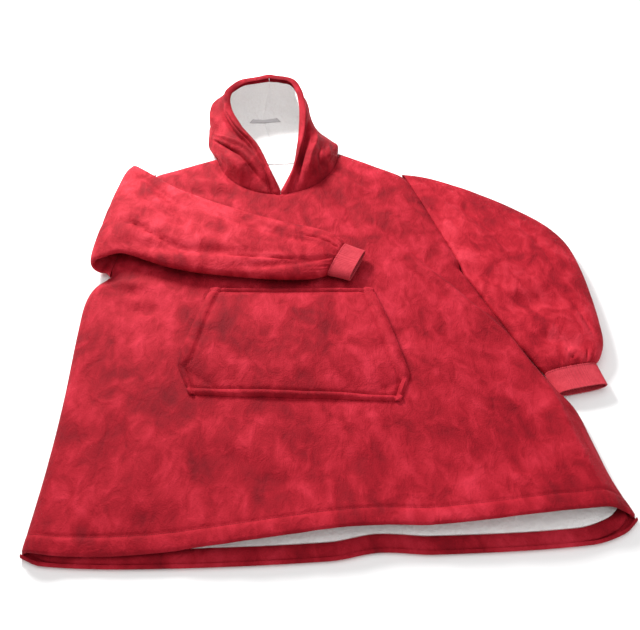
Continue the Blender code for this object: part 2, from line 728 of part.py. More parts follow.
def hood_inward(side, grid, row, column):
    """Direction from a point of the hood's outer face into the hood, one wall long."""
    last_row = len(grid) - 1
    last = len(HOOD_COLUMNS) - 1
    around = grid[row][min(column + 1, last)] - grid[row][max(column - 1, 0)]
    forward = grid[min(row + 1, last_row)][column] - grid[max(row - 1, 0)][column]
    if row == last_row and column == last:
        return Vector((0, -1, 1))
    if row == last_row:
        return Vector((0, around.z, -around.y)).normalized()
    if column == last:
        return Vector((0, -forward.z, forward.y)).normalized()
    if row == 0 and HOOD_COLUMNS[column] >= NECK_CORNER:
        return Vector((0, 0, 1))
    point = grid[row][column]
    normal = Vector((0, 0, 0))
    for up in (-1, 1):
        for over in (-1, 1):
            if 0 <= row + up <= last_row and 0 <= column + over:
                reach = grid[row + up][column] - point
                round_it = grid[row][column + over] - point
                normal += reach.cross(round_it).normalized() * up * over * side
    if row == 0 and column == 0:
        normal.x = 0.0
    return normal.normalized()


def hood_layer(side, depth):
    """Grid of points of one half of the hood at one depth."""
    sections = hood_sections(side)
    grid = []
    for row in range(HOOD_ROWS):
        along = row / (HOOD_ROWS - 1)
        grid.append([hood_point(side, sections, along, across) for across in HOOD_COLUMNS])
    layer = []
    for row, line in enumerate(grid):
        layer.append([point + hood_inward(side, grid, row, column) * depth
                      for column, point in enumerate(line)])
    return layer


def part_columns(grid, first, last):
    """The stretch of a grid between two columns."""
    return [line[first:last + 1] for line in grid]


def build_hood():
    """Both halves of the hood with their linings and the turned edges."""
    edge = HOOD_FACING_COLUMN
    end = len(HOOD_COLUMNS) - 1
    for side, word in ((-1, "left"), (1, "right")):
        outer = hood_layer(side, 0.0)
        add_wall("hood_" + word, outer, hood_layer(side, SHELL), FLEECE_RED)
        upper = hood_layer(side, LINING_TOP + HOOD_EASE)
        facing = hood_layer(side, FACING_BACK + HOOD_EASE)
        lining = hood_layer(side, LINING_BACK + HOOD_EASE)
        add_wall("hood_facing_" + word, part_columns(upper, 0, edge), part_columns(facing, 0, edge),
                 FLEECE_DARK)
        for grid in (upper, lining):
            for line in grid:
                run = (line[edge + 1] - line[edge]).normalized()
                line[edge] = line[edge] + run * 2 * GAP
        add_wall("hood_lining_" + word, part_columns(upper, edge, end),
                 part_columns(lining, edge, end), SHERPA_WHITE)


def pocket_side(top, wide, low, down):
    """Point down one side of the pocket in plan."""
    if down < POCKET_HAND_SHARE:
        share = down / POCKET_HAND_SHARE
        return lerp(top.x, wide.x, share), lerp(top.y, wide.y, share)
    share = (down - POCKET_HAND_SHARE) / (1 - POCKET_HAND_SHARE)
    return lerp(wide.x, low.x, share), lerp(wide.y, low.y, share)


def pocket_layer(depth):
    """Grid of the pocket: sewn down at the top, the bottom and the low corners."""
    grid = []
    for row in range(POCKET_DOWN + 1):
        down = row / POCKET_DOWN
        x0, y0 = pocket_side(POCKET_TOP_LEFT, POCKET_WIDE_LEFT, POCKET_LOW_LEFT, down)
        x1, y1 = pocket_side(POCKET_TOP_RIGHT, POCKET_WIDE_RIGHT, POCKET_LOW_RIGHT, down)
        line = []
        for column in range(POCKET_ACROSS + 1):
            across = column / POCKET_ACROSS
            x = lerp(x0, x1, across)
            y = lerp(y0, y1, across)
            reach = lerp(POCKET_HAND_SHARE, 1.0, 1 - abs(2 * across - 1) ** 4)
            arch = POCKET_ARCH * math.sin(math.pi * min(down / reach, 1.0)) ** 0.7
            line.append(Vector((x, y, FRONT_HEIGHT + GAP + arch + depth)))
        grid.append(line)
    return grid


def build_pocket():
    """Kangaroo pocket with slanted open sides."""
    add_wall("pocket", pocket_layer(SHELL), pocket_layer(0.0), FLEECE_RED)


def label_layer(depth):
    """Grid across the hood's seam at a depth, from the points of both halves."""
    left = hood_layer(-1, depth)
    right = hood_layer(1, depth)
    first = len(HOOD_COLUMNS) - 1 - LABEL_COLUMNS
    return [left[row][first:] + right[row][-2:first - 1:-1] for row in LABEL_ROWS]


def build_label():
    """Bare label lying on the hood's lining."""
    low = LINING_BACK + HOOD_EASE + GAP
    add_wall("neck_label", label_layer(low + LABEL_THICK), label_layer(low), LABEL_GREY, 0.6)


def main():
    """Build every piece."""
    clear_scene()
    build_body()
    build_sleeves()
    build_hood()
    build_pocket()
    build_label()


if __name__ == "__main__":
    main()
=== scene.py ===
import math
from collections import namedtuple
from functools import lru_cache

import bmesh
import bpy
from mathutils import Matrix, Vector, noise


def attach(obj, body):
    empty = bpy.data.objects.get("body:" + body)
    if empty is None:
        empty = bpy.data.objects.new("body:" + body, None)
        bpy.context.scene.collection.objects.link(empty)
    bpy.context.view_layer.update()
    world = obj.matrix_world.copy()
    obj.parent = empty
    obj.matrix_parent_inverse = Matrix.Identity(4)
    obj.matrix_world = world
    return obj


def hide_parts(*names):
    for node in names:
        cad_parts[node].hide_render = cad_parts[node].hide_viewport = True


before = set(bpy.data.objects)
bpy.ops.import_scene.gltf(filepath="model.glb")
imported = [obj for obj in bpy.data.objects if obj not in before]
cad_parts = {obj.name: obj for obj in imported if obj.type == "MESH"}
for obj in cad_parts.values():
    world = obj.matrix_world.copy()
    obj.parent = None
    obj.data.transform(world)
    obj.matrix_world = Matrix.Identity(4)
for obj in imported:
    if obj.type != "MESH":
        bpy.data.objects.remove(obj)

bl_info = {
    "name": "Wearable blanket hoodie",
    "version": (1, 0, 0),
    "blender": (4, 5, 0),
    "location": "3D View > Sidebar > Hoodie",
    "description": "Builds the wearable blanket hoodie laid flat with one sleeve folded over",
    "category": "Object",
}

# Metres, +Z up, the hem towards -Y and the hood towards +Y. The tables hold places seen
# from the middle of the hem; finished pieces are moved so that the garment's middle is
# the origin.

# Cloth, metres
SHELL = 0.003
LINING = 0.005
FACING = 0.003
CUFF_WALL = 0.0025
GAP = 0.0003
LINING_TOP = SHELL + GAP
LINING_BACK = LINING_TOP + LINING
FACING_BACK = LINING_TOP + FACING

# Where the middle of the whole garment lies, seen from the middle of the hem
CENTRE_X = 0.0625
CENTRE_Y = 0.6450

# Heights of the flat body
FRONT_HEIGHT = 0.030
SEAM_HEIGHT = SHELL + GAP
SIDE_ROLL = 0.045
SHOULDER_ROLL = 0.060
ARMHOLE_ROLL = 0.050
ARMHOLE_OPEN = 0.93

# Neck, an ellipse in plan
NECK_X = -0.043
NECK_Y = 1.074
NECK_HALF_WIDTH = 0.161
NECK_FRONT_DROP = 0.190
NECK_BACK_DROP = 0.035

# Lining and facing bands
FRONT_LINING_ROW = 4
INNER_COLUMN = 4
BACK_LINING_INSET = 0.014

Edge = namedtuple("Edge", "x y")
Fold = namedtuple("Fold", "points half_width height")
Ring = namedtuple("Ring", "high_x high_y low_x low_y middle half tilt")
Section = namedtuple("Section", "rim side foot")
Crease = namedtuple("Crease", "along0 across0 along1 across1 half_width depth")
Lump = namedtuple("Lump", "height size seed")


def table(kind, *rows):
    """Rows of numbers as rows of a kind."""
    return tuple(kind(*row) for row in rows)


# Side seams from hem to underarm, and the two ends of each armhole
LEFT_SIDE = table(Edge,
    (-0.476, 0.037), (-0.468, 0.180), (-0.466, 0.321), (-0.470, 0.480), (-0.468, 0.570),
    (-0.452, 0.612))
LEFT_UNDERARM = Edge(-0.425, 0.637)
LEFT_SHOULDER = Edge(-0.362, 1.009)
RIGHT_SIDE = table(Edge,
    (0.496, 0.020), (0.482, 0.085), (0.477, 0.148), (0.470, 0.225), (0.446, 0.282),
    (0.418, 0.360), (0.388, 0.460), (0.367, 0.530))
RIGHT_SHOULDER = Edge(0.272, 0.958)

# One row of every panel runs through both underarms
UNDERARM_ROW = (LEFT_UNDERARM.y - LEFT_SIDE[0].y) / (LEFT_SHOULDER.y - LEFT_SIDE[0].y)
RIGHT_UNDERARM = Edge(0.344, RIGHT_SIDE[0].y
                      + UNDERARM_ROW * (RIGHT_SHOULDER.y - RIGHT_SIDE[0].y))

# Hem lines; the front hem lies a little up the body from the back hem
BACK_HEM = table(Edge,
    (-0.476, 0.037), (-0.443, 0.022), (-0.281, 0.005), (0.000, -0.005), (0.077, 0.002),
    (0.165, -0.008), (0.410, -0.012), (0.470, 0.002), (0.496, 0.020))
FRONT_HEM = table(Edge,
    (-0.476, 0.037), (-0.425, 0.027), (-0.304, 0.018), (-0.137, 0.022), (0.002, 0.029),
    (0.080, 0.030), (0.173, 0.023), (0.332, 0.026), (0.447, 0.030), (0.496, 0.020))

# How far the front hem lies above or below the even height, across the hem
HEM_LIFT_REACH = 0.12
HEM_LIFT = table(Edge,
    (-0.476, 0.000), (-0.400, -0.010), (-0.280, -0.009), (-0.137, -0.002), (0.010, 0.002),
    (0.100, -0.003), (0.190, -0.001), (0.330, 0.007), (0.430, 0.003), (0.496, 0.000))

# The largest folds of the front, as soft ridges and troughs along a path
FRONT_FOLDS = table(Fold,
    (((0.165, 0.715), (0.288, 0.543), (0.385, 0.385), (0.424, 0.262), (0.430, 0.150),
     (0.446, 0.040)), 0.026, 0.009),
    (((0.200, 0.785), (0.300, 0.650), (0.335, 0.590)), 0.022, 0.007),
    (((0.215, 0.700), (0.310, 0.560), (0.360, 0.460)), 0.016, -0.005),
    (((0.200, 0.400), (0.270, 0.300), (0.330, 0.205)), 0.024, 0.005),
    (((0.200, 0.260), (0.270, 0.165), (0.340, 0.090), (0.389, 0.045)), 0.024, 0.005),
    (((-0.415, 0.045), (-0.424, 0.220), (-0.420, 0.430)), 0.020, -0.005),
    (((-0.260, 0.230), (-0.150, 0.190), (-0.020, 0.110)), 0.030, 0.004),
    (((-0.452, 0.640), (-0.400, 0.590), (-0.350, 0.560)), 0.018, -0.006))

# Columns of the front: fractions across, close together where the sides roll down
FRONT_COLUMNS = (0.0, 0.0035, 0.012, 0.026, 0.046, 0.074, 0.110, 0.150, 0.195, 0.240, 0.285,
                 0.312, 0.345, 0.385, 0.425, 0.4625, 0.500, 0.540, 0.580, 0.613, 0.640,
                 0.680, 0.720, 0.765, 0.810, 0.850, 0.888, 0.925, 0.954, 0.974, 0.988,
                 0.9965, 1.0)
NECK_START_COLUMN = 0.285
NECK_END_COLUMN = 0.640
FRONT_ROWS = (0.0, 0.033, 0.075, 0.120, 0.170, 0.220, 0.270, 0.325, 0.380, 0.435, 0.490,
              0.545, 0.590, UNDERARM_ROW, 0.640, 0.670, 0.710, 0.755, 0.800, 0.845, 0.885,
              0.920, 0.950, 0.975, 0.990, 1.0)
BACK_COLUMNS = (0.0, 0.03, 0.09, 0.16, 0.225, 0.285, 0.345, 0.4025, 0.4625, 0.5225, 0.580,
                0.640, 0.715, 0.80, 0.89, 0.96, 1.0)
BACK_ROWS = (0.0, 0.033, 0.10, 0.20, 0.32, 0.44, 0.545, 0.590, UNDERARM_ROW, 0.650, 0.70,
             0.80, 0.90, 1.0)

# Sleeve shape
SLEEVE_SQUARE = 2.6
FOLD_RADIUS = 0.023
FOLD_HALF = 0.0128
FOLD_STEPS = 7
FOLDED_START_HALF = 0.014
LAID_START_HALF = 0.0145
FOLD_HIGH = Edge(-0.398, 0.984)
FOLD_LOW = Edge(-0.437, 0.652)

# Upper stretch of the folded sleeve, from the fold to the cuff, lying on the chest
FOLDED_RINGS = table(Ring,
    (-0.352, 0.943, -0.398, 0.668, 0.0575, 0.0175, 180),
    (-0.288, 0.886, -0.345, 0.648, 0.0530, 0.0200, 180),
    (-0.227, 0.846, -0.300, 0.625, 0.0525, 0.0205, 180),
    (-0.160, 0.805, -0.240, 0.603, 0.0525, 0.0205, 180),
    (-0.092, 0.768, -0.178, 0.588, 0.0525, 0.0205, 180),
    (-0.030, 0.740, -0.108, 0.574, 0.0520, 0.0200, 180),
    (0.025, 0.718, -0.045, 0.565, 0.0515, 0.0195, 180),
    (0.064, 0.699, 0.005, 0.564, 0.0505, 0.0185, 180),
    (0.085, 0.679, 0.034, 0.570, 0.0490, 0.0165, 180),
    (0.093, 0.664, 0.046, 0.576, 0.0470, 0.0140, 180))

# The sleeve that lies straight down beside the body
LAID_RINGS = table(Ring,
    (0.330, 0.936, 0.3560, 0.575, 0.0165, 0.0165, 0),
    (0.392, 0.895, 0.3625, 0.552, 0.0185, 0.0185, 0),
    (0.452, 0.848, 0.3705, 0.527, 0.0195, 0.0195, 0),
    (0.512, 0.792, 0.3795, 0.498, 0.0200, 0.0200, 0),
    (0.566, 0.728, 0.3885, 0.466, 0.0205, 0.0205, 0),
    (0.598, 0.655, 0.3985, 0.433, 0.0205, 0.0205, 0),
    (0.601, 0.570, 0.4075, 0.402, 0.0205, 0.0205, 0),
    (0.594, 0.490, 0.4165, 0.374, 0.0205, 0.0205, 0),
    (0.584, 0.420, 0.4260, 0.349, 0.0200, 0.0200, 0),
    (0.573, 0.368, 0.4350, 0.327, 0.0190, 0.0190, 0),
    (0.556, 0.335, 0.4420, 0.313, 0.0165, 0.0165, 0),
    (0.542, 0.320, 0.4470, 0.306, 0.0140, 0.0140, 0))
CUFF_LENGTH = 0.048
CUFF_TAPER = 0.94
CUFF_HALF = 0.0115

# Creases of the sleeves: start and end as (along, across), both from 0 to 1
FOLDED_CREASES = table(Crease,
    (0.46, 0.05, 0.62, 0.50, 0.045, 0.0045), (0.48, 0.95, 0.74, 0.66, 0.045, 0.0050),
    (0.64, 0.10, 0.86, 0.42, 0.035, 0.0035), (0.72, 0.95, 0.96, 0.60, 0.035, 0.0035))
LAID_CREASES = table(Crease,
    (0.10, 0.20, 0.45, 0.55, 0.050, 0.0045), (0.12, 0.95, 0.42, 0.78, 0.040, 0.0045),
    (0.48, 0.90, 0.66, 0.30, 0.040, 0.0050), (0.70, 0.85, 0.86, 0.25, 0.035, 0.0045))

# Hood: opening edge, side and foot on the floor, from the neck to the crown
HOOD_LEFT = table(Section,
    ((-0.064, 0.945, 0.058), (-0.150, 0.985, 0.070), (-0.216, 1.095, 0.016)),
    ((-0.094, 1.030, 0.078), (-0.186, 1.060, 0.070), (-0.222, 1.130, 0.010)),
    ((-0.140, 1.100, 0.094), (-0.216, 1.125, 0.060), (-0.212, 1.168, 0.008)),
    ((-0.170, 1.172, 0.108), (-0.226, 1.185, 0.058), (-0.190, 1.208, 0.006)),
    ((-0.168, 1.238, 0.119), (-0.208, 1.250, 0.068), (-0.160, 1.250, 0.009)),
    ((-0.130, 1.274, 0.127), (-0.148, 1.290, 0.076), (-0.122, 1.284, 0.020)))
HOOD_RIGHT = table(Section,
    ((-0.010, 0.945, 0.062), (0.060, 0.975, 0.068), (0.114, 1.092, 0.024)),
    ((0.012, 1.025, 0.084), (0.072, 1.050, 0.064), (0.098, 1.124, 0.018)),
    ((0.026, 1.094, 0.102), (0.062, 1.115, 0.062), (0.066, 1.164, 0.012)),
    ((0.030, 1.155, 0.117), (0.050, 1.170, 0.062), (0.040, 1.208, 0.006)),
    ((0.024, 1.220, 0.127), (0.036, 1.238, 0.070), (0.010, 1.250, 0.009)),
    ((0.000, 1.264, 0.133), (0.004, 1.286, 0.076), (-0.022, 1.284, 0.020)))
HOOD_KEEL = table(Edge,
    (-0.045, 1.075), (-0.053, 1.112), (-0.062, 1.158), (-0.071, 1.205), (-0.077, 1.246),
    (-0.081, 1.270))
CROWN = ((-0.056, 1.283, 0.133), (-0.060, 1.302, 0.080), (-0.074, 1.298, 0.030),
         (-0.082, 1.284, 0.006))
HOOD_ROWS = 15
HOOD_COLUMNS = (0.0, 0.035, 0.075, 0.13, 0.19, 0.25, 0.32, 0.39, 0.46, 0.53, 0.57, 0.60,
                0.68, 0.76, 0.84, 0.92, 1.0)
NECK_CORNER = 0.60
HOOD_SHRINK = 0.006
HOOD_STEP_UP = 0.0025
HOOD_EASE = 0.0009

# Pocket corners in plan, from the top left, and how far it stands off the front
POCKET_TOP_LEFT = Edge(-0.199, 0.566)
POCKET_TOP_RIGHT = Edge(0.136, 0.540)
POCKET_WIDE_LEFT = Edge(-0.256, 0.369)
POCKET_WIDE_RIGHT = Edge(0.176, 0.309)
POCKET_LOW_LEFT = Edge(-0.230, 0.300)
POCKET_LOW_RIGHT = Edge(0.150, 0.256)
POCKET_HAND_SHARE = 0.74
POCKET_ARCH = 0.013

# Label in the hood, over these rows of the lining and as many columns each side of the seam
LABEL_ROWS = (10, 11)
LABEL_COLUMNS = 2
LABEL_THICK = 0.0010


def lerp(start, end, share):
    """Value between two numbers."""
    return start + (end - start) * share


def eased(start, end, slope0, slope1, share):
    """Smooth value between start and end, with a slope at each."""
    square = share * share
    cube = square * share
    return ((2 * cube - 3 * square + 1) * start + (cube - 2 * square + share) * slope0
            + (3 * square - 2 * cube) * end + (cube - square) * slope1)


def clamp(value):
    """The value held between 0 and 1."""
    return min(max(value, 0.0), 1.0)


def through(values, share):
    """Smooth value at a share from 0 to 1 along evenly counted values."""
    last = len(values) - 1
    place = clamp(share) * last
    index = min(int(place), last - 1)
    start, end = values[index:index + 2]
    before = values[index - 1] if index > 0 else 2 * start - end
    after = values[index + 2] if index + 2 <= last else 2 * end - start
    return eased(start, end, (end - before) / 2, (after - start) / 2, place - index)


def along_table(rows, key, value, at):
    """Read a table of edge points at a key, smoothly from one row to the next."""
    keys = [getattr(row, key) for row in rows]
    values = [getattr(row, value) for row in rows]
    if keys[0] > keys[-1]:
        keys.reverse()
        values.reverse()
    if at <= keys[0]:
        return values[0]
    for index in range(len(keys) - 1):
        if at <= keys[index + 1]:
            width = keys[index + 1] - keys[index]
            slopes = [width * table_slope(keys, values, row) for row in (index, index + 1)]
            return eased(values[index], values[index + 1], *slopes, (at - keys[index]) / width)
    return values[-1]


def table_slope(keys, values, index):
    """Slope of a table at one of its rows."""
    low = max(index - 1, 0)
    high = min(index + 1, len(keys) - 1)
    return (values[high] - values[low]) / (keys[high] - keys[low])


def roll(share):
    """Quarter circle from 0 at an edge to 1 where the cloth lies flat."""
    inside = 1 - clamp(share)
    return math.sqrt(1 - inside * inside)


def side_x(side, underarm, shoulder, y):
    """X of one outer edge at a height up the body: the side seam, then the armhole."""
    if y <= underarm.y:
        return along_table(side + (underarm,), "y", "x", y)
    share = (y - underarm.y) / (shoulder.y - underarm.y)
    return lerp(underarm.x, shoulder.x, min(share, 1.0))


def left_x(y):
    """X of the left edge."""
    return side_x(LEFT_SIDE, LEFT_UNDERARM, LEFT_SHOULDER, y)


def right_x(y):
    """X of the right edge."""
    return side_x(RIGHT_SIDE, RIGHT_UNDERARM, RIGHT_SHOULDER, y)


def shoulder_y(x):
    """Y of the shoulder seams, level behind the neck."""
    for shoulder, side in ((LEFT_SHOULDER, -1), (RIGHT_SHOULDER, 1)):
        neck = NECK_X + side * NECK_HALF_WIDTH
        if side * (x - neck) > 0:
            share = (x - shoulder.x) / (neck - shoulder.x)
            return lerp(shoulder.y, NECK_Y, max(share, 0.0))
    return NECK_Y


def neck_point(angle, drop):
    """Point of the neck line in plan, from angle 0 at the right to pi at the left."""
    return NECK_X + NECK_HALF_WIDTH * math.cos(angle), NECK_Y - drop * math.sin(angle)


def end_fade(share, steep, least):
    """Full strength along a path, less towards both its ends."""
    return min(1.0, steep * share + least, steep * (1 - share) + least)


def path_distance(x, y, points):
    """Distance to a path of points, and the share of its length at the nearest place."""
    best = (math.inf, 0.0)
    runs = len(points) - 1
    for index in range(runs):
        x0, y0 = points[index]
        x1, y1 = points[index + 1]
        length2 = (x1 - x0) ** 2 + (y1 - y0) ** 2
        share = clamp(((x - x0) * (x1 - x0) + (y - y0) * (y1 - y0)) / length2)
        distance = math.hypot(x - lerp(x0, x1, share), y - lerp(y0, y1, share))
        if distance < best[0]:
            best = (distance, (index + share) / runs)
    return best


def front_rise(x, y):
    """Height of the front over its even height, from the hem's waves and the folds."""
    rise = 0.0
    from_hem = y - along_table(FRONT_HEM, "x", "y", x)
    if from_hem < HEM_LIFT_REACH:
        fade = (1 - max(from_hem, 0.0) / HEM_LIFT_REACH) ** 2
        rise += along_table(HEM_LIFT, "x", "y", x) * fade
    for fold in FRONT_FOLDS:
        distance, share = path_distance(x, y, fold.points)
        rise += fold.height * end_fade(share, 4, 0.35) * bump(distance, fold.half_width)
    return rise


def open_share(y, underarm):
    """How far an outer edge stands open: none at the side seam, nearly all at the armhole."""
    return ARMHOLE_OPEN * roll((y - underarm.y) / ARMHOLE_ROLL)


def top_edge(across, drop):
    """Top edge of a body panel in plan: shoulder, neck line, shoulder."""
    if across <= NECK_START_COLUMN:
        x = lerp(LEFT_SHOULDER.x, NECK_X - NECK_HALF_WIDTH, across / NECK_START_COLUMN)
        return x, shoulder_y(x)
    if across >= NECK_END_COLUMN:
        share = (across - NECK_END_COLUMN) / (1 - NECK_END_COLUMN)
        x = lerp(NECK_X + NECK_HALF_WIDTH, RIGHT_SHOULDER.x, share)
        return x, shoulder_y(x)
    share = (across - NECK_START_COLUMN) / (NECK_END_COLUMN - NECK_START_COLUMN)
    return neck_point(math.pi * (1 - share), drop)


def panel_plan(across, up, hem, drop):
    """Place in plan inside a body panel's four edges."""
    low_x = lerp(hem[0].x, hem[-1].x, across)
    low_y = along_table(hem, "x", "y", low_x)
    top_x, top_y = top_edge(across, drop)
    left_y = lerp(hem[0].y, LEFT_SHOULDER.y, up)
    right_y = lerp(hem[-1].y, RIGHT_SHOULDER.y, up)
    edge_x = lerp(left_x(left_y), right_x(right_y), across)
    corner_x = lerp(low_x, lerp(LEFT_SHOULDER.x, RIGHT_SHOULDER.x, across), up)
    return lerp(low_x, top_x, up) + edge_x - corner_x, lerp(low_y, top_y, up)


def front_layer(columns, rows, depth):
    """Grid of points of the front at one depth."""
    return [[front_point(*panel_plan(across, up, FRONT_HEM, NECK_FRONT_DROP), depth)
             for across in columns] for up in rows]


def back_layer(columns, rows, height, inset=0.0):
    """Flat grid of points of the back at one height, drawn in from the sides and shoulders."""
    grid = []
    for up in rows:
        line = []
        for across in columns:
            x, y = panel_plan(across, up, BACK_HEM, NECK_BACK_DROP)
            x += inset * (1 - 2 * across)
            y -= inset * up if not is_neck(across) else 0.0
            line.append(Vector((x, y, height)))
        grid.append(line)
    return grid


def is_neck(across):
    """Tell whether a column ends at the neck line."""
    return NECK_START_COLUMN < across < NECK_END_COLUMN


# Finer shape than the solids have; lengths in metres
FRONT_STEP = 0.0062
BACK_STEP = 0.012
HEM_BAND = 0.028
BACK_TURNING = 0.023
BACK_HEM_STEP = 0.004
BACK_HEM_COUNT = 9
BACK_HEM_END = 0.036
PILE_STEP = 0.0045
PILE_FINE_STEP = 0.0028
PILE_FINE_END = 0.080
PILE_ROW_STEP = 0.016
NECK_LINING_END = 0.997
HEM_PUFF = 0.0022
HEM_GROOVE = 0.0016
GROOVE_HALF = 0.0035
HEM_NOSE = 0.0038
HEM_OPEN_LEFT = -0.230
HEM_OPEN_RIGHT = 0.470
HEM_OPEN_LIFT = 0.0085
HEM_OPEN_REACH = 0.070
HEM_PUCKER_REACH = 0.030
HEM_START = 0.0036
HEM_ROW_STEP = 0.0021
HEM_ROW_COUNT = 18
HEM_ROWS_END = 0.040
FACING_ROW_STEP = 0.0050
FACING_ROW_COUNT = 7
TURNING_STEPS = 10
TURNING_PUFF = 0.0032
BACK_NOSE = 0.0048
SEAM_DIP = 0.0050
SEAM_HALF = 0.0065
NECK_DIP = 0.3 * SEAM_DIP
NOSE_STEPS = 6
SHARP_ANGLE = 55
LEAST_RADIUS = 0.0004
RIM_BAND = 0.075
RIM_PUFF = 0.0055
RIM_NOSE = 0.0052
RIM_GROOVE = 0.0045
RIM_GATHER = 0.0030
HOOD_NECK_DIP = 0.0012
RIM_GATHER_HALF = 0.035
RIM_GROOVE_HALF = 0.012
HOOD_NECK_HALF = 0.020
ROLL_BAND = 0.050
HOOD_LENGTH = 0.40
HOOD_TURNING_EXTRA = 0.0012
NECK_FLAP = 0.009
FLAP_LEAN = 0.5
POCKET_NOSE = 0.0022
# How much deeper the small folds and creases are than their tables say
FOLD_GAIN = 1.9
HOOD_GAIN = 1.35
CREASE_GAIN = 2.0
SLEEVE_ROUND = 104
# How far the laid sleeve presses against the body
SLEEVE_LEAN = 0.010
SLEEVE_FINER = 9
SLEEVE_SEAM_HALF = 0.012
GATHER_REACH = 0.16
GATHER_DEPTH = 0.0022
GATHER_COUNT = 26
CUFF_RIB = 0.0032
CUFF_RIB_DEPTH = 0.0005
CUFF_SEAM_AT = 0.06
CUFF_STITCH_POINTS = 90
SIDES_PER_RIB = 4
CURL = 0.0016
HEM_STITCH_POINTS = 420
FRONT_LINING_START = 0.034

# Soft unevenness of the cloth, in the order height, size and a number that shifts the noise
FRONT_LUMPS = table(Lump, (0.0016, 0.085, 3.1), (0.0008, 0.030, 7.7))
HEM_LUMPS = table(Lump, (0.0012, 0.045, 1.3))
TURNING_LUMPS = table(Lump, (0.35, 0.030, 2.2), (0.25, 0.011, 4.2))
BODY_PILE = table(Lump, (0.6, 0.0075, 5.5), (0.4, 0.0036, 9.5))
SLEEVE_LUMPS = table(Lump, (0.0022, 0.070, 6.6), (0.0009, 0.026, 8.8))
GATHER_WANDER = table(Lump, (2.2, 0.090, 2.9))
HOOD_LUMPS = table(Lump, (0.0020, 0.060, 4.7), (0.0009, 0.024, 1.9))
RIM_LUMPS = table(Lump, (0.0012, 0.030, 3.3))
HOOD_PILE = table(Lump, (0.6, 0.0085, 5.5), (0.4, 0.0042, 9.5))
ARCH_LUMPS = table(Lump, (0.10, 0.090, 5.2))
POCKET_LUMPS = table(Lump, (0.0008, 0.035, 6.1))

# Soft creases of the front placed over the largest folds
SMALL_FOLDS = table(Fold,
    (((0.165, 0.715), (0.288, 0.543), (0.385, 0.385), (0.424, 0.262), (0.430, 0.150),
     (0.446, 0.040)), 0.009, 0.0022),
    (((0.190, 0.715), (0.310, 0.548), (0.407, 0.385), (0.444, 0.262), (0.450, 0.150)), 0.013,
     -0.0034),
    (((0.200, 0.785), (0.300, 0.650), (0.335, 0.590)), 0.008, 0.0022),
    (((0.230, 0.330), (0.285, 0.240), (0.350, 0.150), (0.400, 0.085)), 0.009, 0.0020),
    (((-0.430, 0.560), (-0.360, 0.520), (-0.280, 0.515)), 0.016, -0.0030),
    (((-0.455, 0.590), (-0.390, 0.600), (-0.310, 0.575)), 0.013, 0.0030),
    (((0.180, 0.690), (0.262, 0.560), (0.330, 0.440)), 0.011, -0.0028),
    (((0.235, 0.745), (0.300, 0.640), (0.330, 0.570)), 0.010, -0.0026),
    (((0.225, 0.470), (0.290, 0.370), (0.350, 0.300)), 0.013, -0.0024),
    (((0.215, 0.330), (0.285, 0.235), (0.372, 0.150)), 0.014, -0.0026),
    (((0.240, 0.190), (0.300, 0.125), (0.360, 0.085)), 0.012, -0.0024),
    (((-0.330, 0.300), (-0.300, 0.180), (-0.310, 0.070)), 0.022, 0.0022),
    (((-0.370, 0.330), (-0.350, 0.210), (-0.360, 0.090)), 0.016, -0.0020),
    (((-0.200, 0.190), (-0.110, 0.150), (-0.050, 0.080)), 0.018, -0.0018),
    (((0.030, 0.210), (0.070, 0.150), (0.085, 0.070)), 0.018, 0.0020),
    (((0.120, 0.240), (0.160, 0.160), (0.170, 0.080)), 0.015, -0.0020),
    (((-0.270, 0.955), (-0.215, 0.940), (-0.165, 0.915)), 0.014, 0.0030),
    (((-0.300, 0.920), (-0.230, 0.900), (-0.130, 0.880)), 0.016, -0.0026),
    (((0.080, 0.950), (0.130, 0.900), (0.190, 0.870)), 0.017, 0.0028),
    (((0.070, 0.890), (0.110, 0.820), (0.130, 0.740)), 0.018, -0.0026))


def denser(values, step):
    """The values with evenly spaced ones between, none further apart than a step."""
    out = []
    for start, end in zip(values, values[1:]):
        pieces = max(1, math.ceil((end - start) / step))
        out += [lerp(start, end, index / pieces) for index in range(pieces)]
    return tuple(out) + (values[-1],)


def bump(distance, half_width):
    """Smooth bell, 1 at no distance."""
    return math.exp(-(distance / half_width) ** 2)


def fold_height(folds, first, second):
    """Height of folds at a place on the surface they are given on."""
    height = 0.0
    for fold in folds:
        distance, share = path_distance(first, second, fold.points)
        if distance < 3 * fold.half_width:
            height += fold.height * end_fade(share, 3, 0.1) * bump(distance, fold.half_width)
    return height


def lump_height(kinds, x, y=0.0, z=0.0):
    """Height of soft lumps at a place, from about -1 to 1 times each kind's height."""
    return sum(lump.height * noise.noise(Vector((
        x / lump.size + lump.seed, y / lump.size - lump.seed, z / lump.size)))
        for lump in kinds)


def hem_shape(distance):
    """Height of a sewn hem over the cloth beyond it, at a distance from its edge."""
    puff = 0.0
    if 0 < distance < HEM_BAND:
        puff = HEM_PUFF * math.sin(math.pi * distance / HEM_BAND) ** 0.7
    return puff - HEM_GROOVE * bump(distance - HEM_BAND, GROOVE_HALF)


